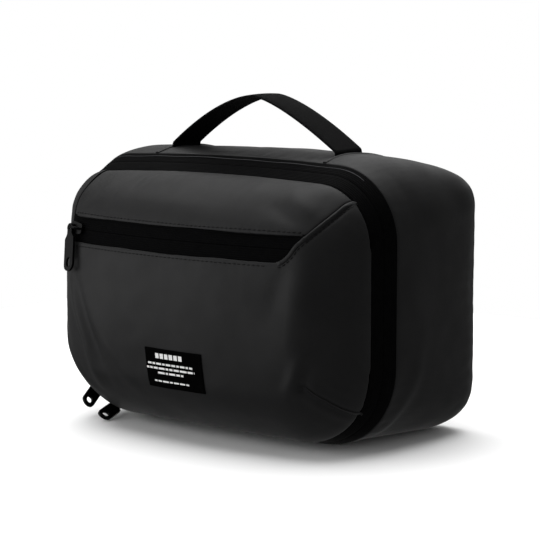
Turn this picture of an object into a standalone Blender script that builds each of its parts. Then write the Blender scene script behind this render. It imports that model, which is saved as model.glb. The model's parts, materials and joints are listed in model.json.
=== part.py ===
"""Shaving kit bag: a clamshell wash bag in black coated cloth with a webbing handle.

Metres, +Z up.  X runs across the bag, the front faces -Y and the bag stands on Z = 0 with the
origin under its middle.  The pieces are drawn with the main zip in the plane Y = 0, the rear
half at +Y and the front half at -Y, and then moved forward together by ZIP_FORWARD.
The front half turns about the line Y = 0, Z = 0 of that drawing, the cloth hinge of the base.
"""

from math import cos, radians, sin, sqrt

import bmesh
import bpy
from mathutils import Matrix, Vector

# ---- driving dimensions -------------------------------------------------------------------
MM = 0.001
HALF_WIDTH = 115 * MM          # of the zip loop at its rear rim
HEIGHT = 160 * MM
TOP_CROWN = 4 * MM             # rise of the top edge over the corners
TOP_RADIUS = 40 * MM
TOP_LEFT_RADIUS = 29 * MM       # the upper left corner is pushed out fuller
BOTTOM_RADIUS = 50 * MM
BAND_HALF = 8.5 * MM           # the zip band reaches this far either side of Y = 0
BAND_INSET = (5.0 * MM, 9.0 * MM, 5.0 * MM)   # front rim inside the rear rim: side, top, base
HINGE_HALF = 64 * MM           # half length of the cloth hinge under the base
CLOTH = 1.8 * MM               # padded outer cloth
LINING = 0.8 * MM
TAPE = 1.2 * MM
COIL = 1.4 * MM
GAP = 0.3 * MM

ZIP_FORWARD = 21.3 * MM        # of the zip's plane, in front of the middle of the bag
REAR_DEPTH = 98 * MM           # to the back wall
FRONT_DEPTH = 55.5 * MM        # to the deepest point of the domed face
FACE_RADIUS = 400 * MM         # plan radius of the face along the pocket zip

POCKET_Z = 119.5 * MM          # the pocket zip's middle line
POCKET_BAND = 14.4 * MM
POCKET_LEFT = -89 * MM
POCKET_RIGHT_TOP = 86 * MM
POCKET_RIGHT_BASE = 75 * MM

HANDLE_SPAN = 62.5 * MM        # half the distance between the sewn ends
HANDLE_Y = 35 * MM
HANDLE_WIDTH = 25 * MM
HANDLE_THICK = 1.6 * MM
HANDLE_PEAK = 1 * MM           # X of the arch's highest point
HANDLE_BASE = 168.9 * MM       # where the webbing leaves the bag
HANDLE_FREE = 55.5 * MM        # the arch is free between these, and sewn in beyond them
HANDLE_AXIS = 173 * MM         # the height it flexes at
HANDLE_TOP = 200 * MM

PULL_LENGTH = 27 * MM
PULL_WIDTH = 8.6 * MM
PULL_THICK = 1.5 * MM
SLIDER_LENGTH = 11 * MM
SLIDER_WIDTH = 8.4 * MM

CORNER = (-(HALF_WIDTH - BOTTOM_RADIUS), BOTTOM_RADIUS)   # centre of the lower left corner
UPPER_SLIDER_AT = 216.0        # degrees round that corner
LOWER_SLIDER_AT = 238.0
PARKED_ZONE = (190.0, 256.0)   # the stretch of zip that the parked sliders hold

# ---- scene helpers ------------------------------------------------------------------------


def clear_scene():
    for item in list(bpy.data.objects):
        bpy.data.objects.remove(item, do_unlink=True)


def collection(name):
    made = bpy.data.collections.new(name)
    bpy.context.scene.collection.children.link(made)
    return made


def material(name, colour, roughness, metallic=0.0):
    made = bpy.data.materials.new(name)
    made.use_nodes = True
    shader = made.node_tree.nodes["Principled BSDF"]
    shader.inputs["Base Color"].default_value = (*colour, 1.0)
    shader.inputs["Roughness"].default_value = roughness
    shader.inputs["Metallic"].default_value = metallic
    return made


def add(name, mesh, group, look=None):
    item = bpy.data.objects.new(name, mesh)
    group.objects.link(item)
    if look:
        colour, roughness, metallic = look
        mesh.materials.append(material(name, colour, roughness, metallic))
    return item


def from_bmesh(name, bm, group, look=None):
    mesh = bpy.data.meshes.new(name)
    bm.to_mesh(mesh)
    bm.free()
    return add(name, mesh, group, look)


def thicken(item, thickness, offset=-1.0):
    wall = item.modifiers.new("wall", "SOLIDIFY")
    wall.thickness = thickness
    wall.offset = offset
    wall.use_even_offset = True
    return item


def cut(item, cutter, operation="DIFFERENCE"):
    step = item.modifiers.new(operation.lower(), "BOOLEAN")
    step.operation = operation
    step.object = cutter
    step.solver = "EXACT"
    return item


def as_cutter(item):
    item.hide_render = True
    item.display_type = "WIRE"
    return item


def pivot(name, group, matrix):
    empty = bpy.data.objects.new(name, None)
    empty.empty_display_size = 0.01
    group.objects.link(empty)
    empty.matrix_world = matrix
    return empty


CLOTH_LOOK = ((0.028, 0.028, 0.030), 0.48, 0.0)
TAPE_LOOK = ((0.006, 0.006, 0.007), 0.62, 0.0)
LINING_LOOK = ((0.035, 0.036, 0.040), 0.7, 0.0)
COIL_LOOK = ((0.010, 0.010, 0.011), 0.4, 0.0)
METAL_LOOK = ((0.020, 0.020, 0.021), 0.3, 0.8)
LABEL_LOOK = ((0.008, 0.008, 0.008), 0.75, 0.0)

# ---- the outline that every ring of the bag follows ---------------------------------------


def arc(centre, radius, start, end, steps):
    points = []
    for i in range(steps + 1):
        angle = radians(start + (end - start) * i / steps)
        points.append((centre[0] + radius * cos(angle), centre[1] + radius * sin(angle)))
    return points


def spread(start, end, count):
    """Points strictly between two points."""
    points = []
    for i in range(1, count + 1):
        t = i / (count + 1)
        points.append((start[0] + (end[0] - start[0]) * t, start[1] + (end[1] - start[1]) * t))
    return points


def outline(side, top, base, tighter=0.0):
    """The loop seen from the front, inset by the three amounts, with corners drawn tighter.

    It starts at the middle of the base and runs up the right side, over the top and down the
    left side.  Every call gives the same number of points, so rings can be joined.
    """
    half = HALF_WIDTH - side
    low = base
    high = HEIGHT - top
    top_radius = max(TOP_RADIUS - 0.5 * (side + top) - tighter, 10 * MM)
    left_radius = max(TOP_LEFT_RADIUS - 0.5 * (side + top) - 0.4 * tighter, 9 * MM)
    base_radius = max(BOTTOM_RADIUS - 0.5 * (side + base) - tighter, 10 * MM)
    right_low = arc((half - base_radius, low + base_radius), base_radius, -90, 0, 7)
    right_high = arc((half - top_radius, high - top_radius), top_radius, 0, 90, 7)
    left_high = arc((-half + left_radius, high - left_radius), left_radius, 90, 180, 7)
    left_low = arc((-half + base_radius, low + base_radius), base_radius, 180, 270, 7)
    points = [(0.0, low)]
    points += spread((0.0, low), right_low[0], 2)
    points += right_low + spread(right_low[-1], right_high[0], 2)
    points += right_high + spread(right_high[-1], left_high[0], 5)
    points += left_high + spread(left_high[-1], left_low[0], 2)
    points += left_low + spread(left_low[-1], (0.0, low), 2)
    return [(x, z + crown_at(x, z, half)) for x, z in points]


def crown_at(x, z, half):
    if z < HEIGHT * 0.5:
        return 0.0
    lift = min(1.0, (z - HEIGHT * 0.5) / (HEIGHT * 0.35))
    return TOP_CROWN * lift * lift * (1.0 - (x / half) ** 2)


def face_depth(z):
    """How far the front face stands out in the middle of the bag, at height z."""
    return FRONT_DEPTH - 5.8 * MM * ((z - 75 * MM) / (45 * MM)) ** 2


FACE_AXIS = FACE_RADIUS - face_depth(POCKET_Z)     # Y of the vertical axis the face turns about


def face_y(x, z):
    """The front face is a surface turned about the vertical axis X = 0, Y = FACE_AXIS."""
    reach = FACE_AXIS + face_depth(z)
    return FACE_AXIS - sqrt(reach * reach - x * x)


def face_tilt():
    """Lean of the face from upright at the pocket zip."""
    step = 0.1 * MM
    slope = (face_depth(POCKET_Z - step) - face_depth(POCKET_Z + step)) / (2 * step)
    return slope


def front_ring(share, depth_in=0.0, inset_in=0.0):
    """A ring of the front half: share 0 is the rim by the zip, 1 is where the face begins."""
    round_out = (1.0 - (1.0 - min(share, 1.0)) ** 1.9) ** (1 / 1.9)
    side = BAND_INSET[0] + 30 * MM * share + inset_in
    top = BAND_INSET[1] + 27 * MM * share + inset_in
    base = BAND_INSET[2] + 33 * MM * share + inset_in
    rim = -(BAND_HALF + (2 * MM if depth_in else 0.0))
    ring = []
    for x, z in outline(side, top, base):
        y = rim + (face_y(x, z) + depth_in - rim) * round_out
        ring.append(Vector((x, y, z)))
    return ring


def rear_ring(y, side, top, base):
    tighter = 18 * MM * max(0.0, (y - 25 * MM) / (60 * MM))
    return [Vector((x, y, z)) for x, z in outline(side, top, base, tighter)]


def loft(name, rings, group, look=None, middle=None, closed=True):
    """Joins rings with faces that look outwards; middle closes the last ring with a fan."""
    bm = bmesh.new()
    rows = [[bm.verts.new(point) for point in ring] for ring in rings]
    count = len(rows[0])
    last = count if closed else count - 1
    for row, following in zip(rows[:-1], rows[1:]):
        for j in range(last):
            k = (j + 1) % count
            bm.faces.new((row[j], row[k], following[k], following[j]))
    if middle is not None:
        centre = bm.verts.new(middle)
        for j in range(count):
            bm.faces.new((rows[-1][j], rows[-1][(j + 1) % count], centre))
    return from_bmesh(name, bm, group, look)


def scaled(ring, share, surface):
    """A smaller copy of a ring about the middle of the wall, laid on the surface."""
    middle = Vector((0.0, 0.0, HEIGHT * 0.5))
    points = []
    for point in ring:
        x = middle.x + (point.x - middle.x) * share
        z = middle.z + (point.z - middle.z) * share
        points.append(Vector((x, surface(x, z), z)))
    return points


# ---- rear half ----------------------------------------------------------------------------

REAR_PROFILE = (
    (BAND_HALF + GAP, 0.0, 0.0, 0.0),
    (22 * MM, -1.2 * MM, -2.6 * MM, 0.0),
    (36 * MM, -1.8 * MM, -3.4 * MM, 0.0),
    (58 * MM, -2.2 * MM, -1.6 * MM, 0.0),
    (80 * MM, -1.2 * MM, 3.6 * MM, 0.3 * MM),
    (91 * MM, 1.6 * MM, 8.5 * MM, 2.4 * MM),
)


def make_rear_shell(parts):
    rings = [rear_ring(*row) for row in reversed(REAR_PROFILE)]
    thicken(loft("rear_gusset", rings, parts, CLOTH_LOOK), CLOTH)
    edge = rear_ring(92.4 * MM, 2.9 * MM, 9.9 * MM, 3.8 * MM)
    shoulder = rear_ring(95.5 * MM, 6 * MM, 13 * MM, 7 * MM)

    def back(x, z):
        away = (x / HALF_WIDTH) ** 2 + ((z - HEIGHT / 2) / (HEIGHT / 2)) ** 2
        return REAR_DEPTH - 1.5 * MM * away

    inner = scaled(shoulder, 0.72, back)
    core = scaled(shoulder, 0.36, back)
    rings = [edge, shoulder, inner, core]
    rings = [list(reversed(ring)) for ring in rings]
    middle = Vector((0.0, REAR_DEPTH, HEIGHT * 0.5))
    thicken(loft("rear_panel", rings, parts, CLOTH_LOOK, middle), CLOTH)


def make_rear_lining(parts):
    inside = CLOTH + 0.8 * MM
    rows = [(y, s + inside, t + inside, b + inside) for y, s, t, b in REAR_PROFILE[:5]]
    rows[0] = (11.5 * MM, *rows[0][1:])
    rows.append((91 * MM, 9 * MM, 15.5 * MM, 9 * MM))
    rings = [rear_ring(*row) for row in reversed(rows)]
    wall = 92.7 * MM
    floor = scaled(rings[0], 0.6, lambda x, z: wall)
    rings.insert(0, floor)
    rings = [list(reversed(ring)) for ring in reversed(rings)]
    middle = Vector((0.0, wall, HEIGHT * 0.5))
    thicken(loft("rear_lining", rings, parts, LINING_LOOK, middle), LINING)


# ---- main zip -----------------------------------------------------------------------------


def band_point(along, across):
    """A point of the zip band: along counts outline points, across is -1 front to +1 rear."""
    share = (1.0 - across) / 2.0
    side, top, base = (value * share for value in BAND_INSET)
    ring = outline(side, top, base)
    low = int(along)
    t = along - low
    a = ring[low % len(ring)]
    b = ring[(low + 1) % len(ring)]
    return Vector((a[0] + (b[0] - a[0]) * t, BAND_HALF * across, a[1] + (b[1] - a[1]) * t))


def inward(along, across):
    """The direction into the bag, square to the band."""
    step = 0.3
    tangent = band_point(along + step, across) - band_point(along - step, across)
    width = band_point(along, min(across + 0.2, 1.0)) - band_point(along, max(across - 0.2, -1.0))
    return tangent.cross(width).normalized()


def zip_stations():
    """Outline positions of the zipped stretch, from the base at the right to the left."""
    ring = outline(0.0, 0.0, 0.0)
    total = len(ring)
    stations = [i for i in range(total) if not (ring[i][1] < 1 * MM and abs(ring[i][0]) < HINGE_HALF)]
    return stations


def corner_station(angle):
    """Outline position of an angle round the lower left corner."""
    total = len(outline(0.0, 0.0, 0.0))
    start = total - 2 - 8
    return start + (angle - 180.0) / 90.0 * 7.0


def strip(name, parts, look, stations, near, far, depth, thickness, side):
    """A ribbon along the zip; near and far are its edges across the band, in metres from Y = 0."""
    bm = bmesh.new()
    rows = []
    for along in stations:
        low = near(along) if callable(near) else near
        row = []
        for edge in (low, far):
            across = side * edge / BAND_HALF
            row.append(band_point(along, across) + inward(along, across) * depth)
        rows.append([bm.verts.new(point) for point in row])
    for a, b in zip(rows[:-1], rows[1:]):
        quad = (a[0], b[0], b[1], a[1])
        bm.faces.new(quad if side < 0 else tuple(reversed(quad)))
    return thicken(from_bmesh(name, bm, parts, look), thickness)


def make_main_zip(parts):
    stations = zip_stations()
    start, end = stations[0] + 0.1, stations[-1] - 0.1
    zone = [corner_station(angle) for angle in PARKED_ZONE]
    split = 0.6 * MM
    wide = 5.0 * MM
    held = 4.6 * MM

    def rear_edge(along):
        return wide if zone[0] <= along <= zone[1] else split

    base = [start] + stations[1:-1] + [end]
    notch = 0.12
    extra = [zone[0] - notch, zone[0], zone[1], zone[1] + notch]
    rear = sorted(set(base + extra))
    edge = BAND_HALF - GAP
    strip("front_zip_tape", parts, TAPE_LOOK, base, split, edge, 0.0, TAPE, -1)
    strip("rear_zip_tape", parts, TAPE_LOOK, rear, rear_edge, edge, 0.0, TAPE, 1)
    coil_depth = TAPE + GAP
    strip("front_zip_coil", parts, COIL_LOOK, base, 0.7 * MM, 2.9 * MM, coil_depth, COIL, -1)
    before = [a for a in base if a < zone[0] - 0.3] + [zone[0] - 0.3]
    after = [zone[1] + 0.3] + [a for a in base if a > zone[1] + 0.3]
    strip("rear_zip_coil", parts, COIL_LOOK, before, 0.7 * MM, 2.9 * MM, coil_depth, COIL, 1)
    strip("rear_zip_coil_end", parts, COIL_LOOK, after, 0.7 * MM, 2.9 * MM, coil_depth, COIL, 1)
    inner = [a for a in base if zone[0] + 0.1 < a < zone[1] - 0.1]
    inner = [zone[0] + 0.1] + inner + [zone[1] - 0.1]
    strip("zip_end_tape", parts, TAPE_LOOK, inner, split, held, 0.0, TAPE, 1)
    strip("zip_end_coil", parts, COIL_LOOK, inner, 0.7 * MM, 2.9 * MM, coil_depth, COIL, 1)


def make_hinge_strip(parts):
    bm = bmesh.new()
    rows = []
    for y in (-BAND_HALF + GAP, 0.0, BAND_HALF - GAP):
        across = y / BAND_HALF
        low = BAND_INSET[2] * (1.0 - across) / 2.0
        rows.append([bm.verts.new((x, y, low)) for x in (-HINGE_HALF, HINGE_HALF)])
    for a, b in zip(rows[:-1], rows[1:]):
        bm.faces.new((a[0], b[0], b[1], a[1]))
    thicken(from_bmesh("hinge_strip", bm, parts, TAPE_LOOK), TAPE)


# ---- front half ---------------------------------------------------------------------------

FRONT_SHARES = (0.0, 0.03, 0.1, 0.22, 0.42, 0.68, 1.0)


def front_skin(name, group, look=None, depth_in=0.0, inset_in=0.0, thickness=CLOTH):
    rings = [front_ring(share, depth_in, inset_in) for share in FRONT_SHARES]

    def surface(x, z):
        return face_y(x, z) + depth_in

    rings.append(scaled(rings[-1], 0.66, surface))
    rings.append(scaled(rings[-2], 0.33, surface))
    middle_z = HEIGHT * 0.5
    middle = Vector((0.0, surface(0.0, middle_z), middle_z))
    return thicken(loft(name, rings, group, look, middle), thickness)


def prism(name, corners, cutters):
    """A block whose front view is the given polygon."""
    bm = bmesh.new()
    face = bm.faces.new([bm.verts.new((x, -0.09, z)) for x, z in corners])
    grown = bmesh.ops.extrude_face_region(bm, geom=[face])
    verts = [item for item in grown["geom"] if isinstance(item, bmesh.types.BMVert)]
    bmesh.ops.translate(bm, verts=verts, vec=(0.0, 0.089, 0.0))
    bmesh.ops.recalc_face_normals(bm, faces=bm.faces)
    return as_cutter(from_bmesh(name, bm, cutters))


def pocket_corners(grow):
    """The pocket zip's outline from the front, grown by some amount."""
    half = POCKET_BAND / 2.0 + grow
    low, high = POCKET_Z - half, POCKET_Z + half
    slope = (POCKET_RIGHT_TOP - POCKET_RIGHT_BASE) / POCKET_BAND
    right_low = POCKET_RIGHT_BASE + 1.5 * grow - slope * grow
    right_high = POCKET_RIGHT_TOP + 1.5 * grow + slope * grow
    return [(POCKET_LEFT - grow, low), (right_low, low), (right_high, high), (POCKET_LEFT - grow, high)]


def upper_corners(grow):
    """The upper panel's outline: its right end slants out and its left end leans in."""
    low = POCKET_Z + POCKET_BAND / 2.0 - grow
    right = POCKET_RIGHT_TOP + grow
    left = POCKET_LEFT - 1 * MM - grow
    high = HEIGHT * 1.15
    rise = high - low
    return [(left, low), (right, low), (right + 0.6 * rise, high), (left + 0.12 * rise, high)]


def make_front_panels(parts, cutters):
    upper = front_skin("front_upper_panel", parts, CLOTH_LOOK)
    cut(upper, prism("upper_region", upper_corners(0.0), cutters), "INTERSECT")
    lower = front_skin("front_lower_panel", parts, CLOTH_LOOK)
    cut(lower, prism("upper_clear", upper_corners(GAP), cutters))
    cut(lower, prism("pocket_clear", pocket_corners(0.0), cutters))
    front_skin("front_lining", parts, LINING_LOOK, 9.8 * MM, CLOTH + 0.8 * MM, LINING)


def face_patch(name, parts, look, xs, zs, depth, thickness, slant=None):
    """A sheet that follows the face, at some depth under its outer side."""
    bm = bmesh.new()
    rows = []
    for z in zs:
        row = []
        for i, x in enumerate(xs):
            end = slant(z) if slant and i == len(xs) - 1 else x
            row.append(bm.verts.new((end, face_y(end, z) + depth, z)))
        rows.append(row)
    for a, b in zip(rows[:-1], rows[1:]):
        for j in range(len(xs) - 1):
            bm.faces.new((a[j], a[j + 1], b[j + 1], b[j]))
    return thicken(from_bmesh(name, bm, parts, look), thickness)


def steps(start, end, count):
    return [start + (end - start) * i / count for i in range(count + 1)]


def make_pocket(parts):
    half = POCKET_BAND / 2.0 - GAP

    def right_end(z):
        share = (z - (POCKET_Z - POCKET_BAND / 2.0)) / POCKET_BAND
        return POCKET_RIGHT_BASE + (POCKET_RIGHT_TOP - POCKET_RIGHT_BASE) * share - 0.5 * MM

    xs = steps(POCKET_LEFT + GAP, POCKET_RIGHT_BASE, 14)
    split = 0.6 * MM
    tape = 0.7 * MM
    top = (POCKET_Z + split, POCKET_Z + half)
    low = (POCKET_Z - half, POCKET_Z - split)
    face_patch("pocket_tape_upper", parts, TAPE_LOOK, xs, top, 0.9 * MM, tape, right_end)
    face_patch("pocket_tape_lower", parts, TAPE_LOOK, xs, low, 0.9 * MM, tape, right_end)
    xs = steps(POCKET_LEFT + 1 * MM, POCKET_RIGHT_BASE, 14)
    top = (POCKET_Z + 0.7 * MM, POCKET_Z + 2.8 * MM)
    low = (POCKET_Z - 2.8 * MM, POCKET_Z - 0.7 * MM)
    face_patch("pocket_coil_upper", parts, COIL_LOOK, xs, top, 2.0 * MM, COIL)
    face_patch("pocket_coil_lower", parts, COIL_LOOK, xs, low, 2.0 * MM, COIL)
    xs = steps(-82 * MM, 82 * MM, 8)
    zs = steps(28 * MM, 132 * MM, 4)
    face_patch("pocket_back", parts, LINING_LOOK, xs, zs, 8.2 * MM, LINING)


def make_label(parts):
    xs = steps(-17 * MM, 25 * MM, 4)
    zs = steps(34 * MM, 57 * MM, 2)
    face_patch("label", parts, LABEL_LOOK, xs, zs, -0.8 * MM, 0.5 * MM)


# ---- handle -------------------------------------------------------------------------------


def arch_height(x):
    rise = HANDLE_TOP - HANDLE_BASE
    away = x - HANDLE_PEAK
    if away < 0:
        share, bend = away / (-HANDLE_SPAN - HANDLE_PEAK), 1.65
    else:
        share, bend = away / (HANDLE_SPAN - HANDLE_PEAK), 1.42
    return HANDLE_BASE + rise * (1.0 - share ** bend)


def webbing(name, xs, origin, parts):
    bm = bmesh.new()
    rows = []
    for x in xs:
        z = arch_height(x)
        edges = (HANDLE_Y - HANDLE_WIDTH / 2, HANDLE_Y + HANDLE_WIDTH / 2)
        rows.append([bm.verts.new(Vector((x, y, z)) - origin) for y in edges])
    for a, b in zip(rows[:-1], rows[1:]):
        bm.faces.new((a[0], b[0], b[1], a[1]))
    return thicken(from_bmesh(name, bm, parts, TAPE_LOOK), HANDLE_THICK)


def make_handle(parts):
    origin = Vector((0.0, HANDLE_Y, HANDLE_AXIS))
    hinge = pivot("handle_axis", parts, Matrix.Translation(origin))
    arch = webbing("handle_webbing", steps(-HANDLE_FREE, HANDLE_FREE, 20), origin, parts)
    arch.parent = hinge
    sewn = HANDLE_FREE + 1.9 * MM
    still = Vector((0.0, 0.0, 0.0))
    webbing("handle_end_left", steps(-HANDLE_SPAN, -sewn, 2), still, parts)
    webbing("handle_end_right", steps(sewn, HANDLE_SPAN, 2), still, parts)


# ---- sliders and pulls --------------------------------------------------------------------


def rounded_outline(length, width_front, width_rear, radius, count=4):
    """A plate's outline, wider at +X, with rounded corners."""
    corners = (
        (length / 2 - radius, width_front / 2 - radius, 0),
        (-length / 2 + radius, width_rear / 2 - radius, 90),
        (-length / 2 + radius, -width_rear / 2 + radius, 180),
        (length / 2 - radius, -width_front / 2 + radius, 270),
    )
    points = []
    for x, y, start in corners:
        points += arc((x, y), radius, start, start + 90, count)
    return points


def plate(name, points, low, high, group, look=None):
    bm = bmesh.new()
    face = bm.faces.new([bm.verts.new((x, y, low)) for x, y in points])
    grown = bmesh.ops.extrude_face_region(bm, geom=[face])
    verts = [item for item in grown["geom"] if isinstance(item, bmesh.types.BMVert)]
    bmesh.ops.translate(bm, verts=verts, vec=(0.0, 0.0, high - low))
    bmesh.ops.recalc_face_normals(bm, faces=bm.faces)
    return from_bmesh(name, bm, group, look)


def block(name, size, centre, group):
    bm = bmesh.new()
    bmesh.ops.create_cube(bm, size=1.0)
    bmesh.ops.scale(bm, vec=size, verts=bm.verts)
    bmesh.ops.translate(bm, vec=centre, verts=bm.verts)
    return as_cutter(from_bmesh(name, bm, group))


def bridge(name, group):
    """The bar that holds the pull's eye: two posts joined over the top."""
    curve = bpy.data.curves.new(name, "CURVE")
    curve.dimensions = "3D"
    curve.bevel_depth = 0.75 * MM
    curve.bevel_resolution = 2
    curve.use_fill_caps = True
    path = [(4.0, 0.8), (4.0, 4.0), (3.5, 4.9), (2.5, 5.3), (-2.4, 5.3), (-3.6, 4.7), (-4.2, 3.4), (-4.3, 0.8)]
    line = curve.splines.new("POLY")
    line.points.add(len(path) - 1)
    for point, (x, z) in zip(line.points, path):
        point.co = (x * MM, 0.0, z * MM, 1.0)
    item = bpy.data.objects.new(name, curve)
    bpy.context.scene.collection.objects.link(item)
    depsgraph = bpy.context.evaluated_depsgraph_get()
    mesh = bpy.data.meshes.new_from_object(item.evaluated_get(depsgraph))
    bm = bmesh.new()
    bm.from_mesh(mesh)
    bmesh.ops.remove_doubles(bm, verts=bm.verts, dist=0.00001)
    bm.to_mesh(mesh)
    bm.free()
    bpy.data.objects.remove(item, do_unlink=True)
    return as_cutter(add(name, mesh, group))


def make_slider(name, matrix, tape, coil, parts, cutters, parent):
    """A slider in its own frame: +X is its pull end, +Z out of the bag, 0 the tape's outer side."""
    above = 0.35 * MM
    shape = rounded_outline(SLIDER_LENGTH, SLIDER_WIDTH, 6.4 * MM, 1.8 * MM)
    body = plate(name, shape, above, above + 1.3 * MM, parts, METAL_LOOK)
    under = -(tape + coil + 2 * GAP + 0.6 * MM)
    base = as_cutter(plate(name + "_under", shape, under - 1.0 * MM, under, cutters))
    web_height = above + 1.0 * MM - (under - 0.5 * MM)
    web_middle = (above + 1.0 * MM + under - 0.5 * MM) / 2.0
    web = block(name + "_web", (3.0 * MM, 0.7 * MM, web_height), (-1.5 * MM, 0.0, web_middle), cutters)
    bar = bridge(name + "_bridge", cutters)
    for piece in (web, base, bar):
        cut(body, piece, "UNION")
        piece.matrix_world = matrix
    body.matrix_world = matrix
    if parent:
        body.parent = parent
        body.matrix_parent_inverse = parent.matrix_world.inverted()
    return body


def make_pull(name, matrix, parts, cutters, parent):
    """A flat pull: its eye is round the origin and it points along +X."""
    radius = PULL_WIDTH / 2.0
    neck = 2.5 * MM
    shape = arc((0.0, 0.0), neck, 60, 300, 10)
    shape += [(4.0 * MM, -neck * 0.9)]
    shape += arc((7.5 * MM, -radius + 2.0 * MM), 2.0 * MM, 215, 270, 3)
    shape += arc((PULL_LENGTH - radius, 0.0), radius, -90, 90, 10)
    shape += arc((7.5 * MM, radius - 2.0 * MM), 2.0 * MM, 90, 145, 3)
    shape += [(4.0 * MM, neck * 0.9)]
    body = plate(name, shape, 0.0, PULL_THICK, parts, METAL_LOOK)
    eye = as_cutter(plate(name + "_eye", arc((0, 0), 1.35 * MM, 0, 345, 15), -MM, 3 * MM, cutters))
    slot = arc((20.5 * MM, 0.0), 1.9 * MM, 90, 270, 6) + arc((22.5 * MM, 0.0), 1.9 * MM, -90, 90, 6)
    hole = as_cutter(plate(name + "_slot", slot, -MM, 3 * MM, cutters))
    for piece in (eye, hole):
        cut(body, piece)
        piece.matrix_world = matrix
    body.matrix_world = matrix
    if parent:
        body.parent = parent
        body.matrix_parent_inverse = parent.matrix_world.inverted()
    return body


def frame(origin, x_axis, z_axis):
    """A placement from its origin, its outward direction and roughly its X direction."""
    z = Vector(z_axis).normalized()
    x = Vector(x_axis)
    x = (x - z * x.dot(z)).normalized()
    y = z.cross(x)
    rotation = Matrix((x, y, z)).transposed().to_4x4()
    return Matrix.Translation(origin) @ rotation


PULL_HEIGHT = 0.35 * MM + 1.3 * MM + 0.70 * MM    # of a pull's underside over the tape
POST_AT = 4.0 * MM                                # the bridge post that the eye goes round


def make_pocket_slider(parts, cutters):
    axis = pivot("pocket_slider_axis", parts, Matrix.Translation((0.0, FACE_AXIS, POCKET_Z)))
    x = POCKET_LEFT + 6.4 * MM
    surface = Vector((x, face_y(x, POCKET_Z) + 0.9 * MM, POCKET_Z))
    plan = Vector((x, face_y(x, POCKET_Z) - FACE_AXIS, 0.0)).normalized()
    lean = face_tilt()
    out = (plan + Vector((0.0, 0.0, lean))).normalized()
    along = Vector((plan.y, -plan.x, 0.0))
    if along.x > 0:
        along = -along
    seat = frame(surface, along, out)
    make_slider("pocket_slider", seat, 0.7 * MM, COIL, parts, cutters, axis)
    post = seat @ Vector((POST_AT, 0.0, PULL_HEIGHT))
    eye = pivot("pocket_pull_axis", parts, Matrix.Translation(post))
    eye.parent = axis
    eye.matrix_parent_inverse = axis.matrix_world.inverted()
    make_pull("pocket_pull", frame(post, (0.26, 0.0, -1.0), out), parts, cutters, eye)


def make_main_slider(suffix, angle, swing, parts, cutters):
    """swing is the pull's angle from the zip's direction down the corner towards the front."""
    radius = BOTTOM_RADIUS - 0.25 * (BAND_INSET[0] + BAND_INSET[2])
    turn = radians(angle)
    out = Vector((cos(turn), 0.0, sin(turn)))
    down = Vector((-sin(turn), 0.0, cos(turn)))
    centre = Vector((CORNER[0], 0.0, CORNER[1]))
    lean = (BAND_INSET[0] / (2 * BAND_HALF))
    square = (out + Vector((0.0, -lean, 0.0))).normalized()
    axis = pivot("main_slider_%s_axis" % suffix, parts, Matrix.Translation(centre))
    seat = frame(centre + out * radius, down, square)
    make_slider("main_slider_" + suffix, seat, TAPE, COIL, parts, cutters, axis)
    post = seat @ Vector((POST_AT, 0.0, PULL_HEIGHT))
    eye = pivot("main_pull_%s_axis" % suffix, parts, Matrix.Translation(post))
    eye.parent = axis
    eye.matrix_parent_inverse = axis.matrix_world.inverted()
    flat = (out + Vector((0.0, -0.12, 0.0))).normalized()
    away = down * cos(radians(swing)) + Vector((0.0, -sin(radians(swing)), 0.0))
    make_pull("main_pull_" + suffix, frame(post, away, flat), parts, cutters, eye)


def main():
    clear_scene()
    parts = collection("shaving_kit_bag")
    cutters = collection("cutters")
    make_rear_shell(parts)
    make_rear_lining(parts)
    make_main_zip(parts)
    make_hinge_strip(parts)
    make_front_panels(parts, cutters)
    make_pocket(parts)
    make_label(parts)
    make_handle(parts)
    make_pocket_slider(parts, cutters)
    make_main_slider("upper", UPPER_SLIDER_AT, 62.0, parts, cutters)
    make_main_slider("lower", LOWER_SLIDER_AT, 70.0, parts, cutters)
    middle = pivot("middle", parts, Matrix.Identity(4))
    for item in list(bpy.data.objects):
        if item is not middle and item.parent is None:
            item.parent = middle
    middle.location.y = -ZIP_FORWARD
    bpy.context.view_layer.update()


main()
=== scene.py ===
"""The looks of the shaving kit bag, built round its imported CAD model.

Every piece is drawn with the main zip in the plane Y = 0, X across the bag, the front at -Y and
the ground at Z = 0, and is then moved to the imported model's place by ZIP_Y.  Metres throughout.
"""

import json
import random
from math import cos, exp, hypot, pi, radians, sin, sqrt

import bmesh
import bpy
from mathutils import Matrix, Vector, noise


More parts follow.
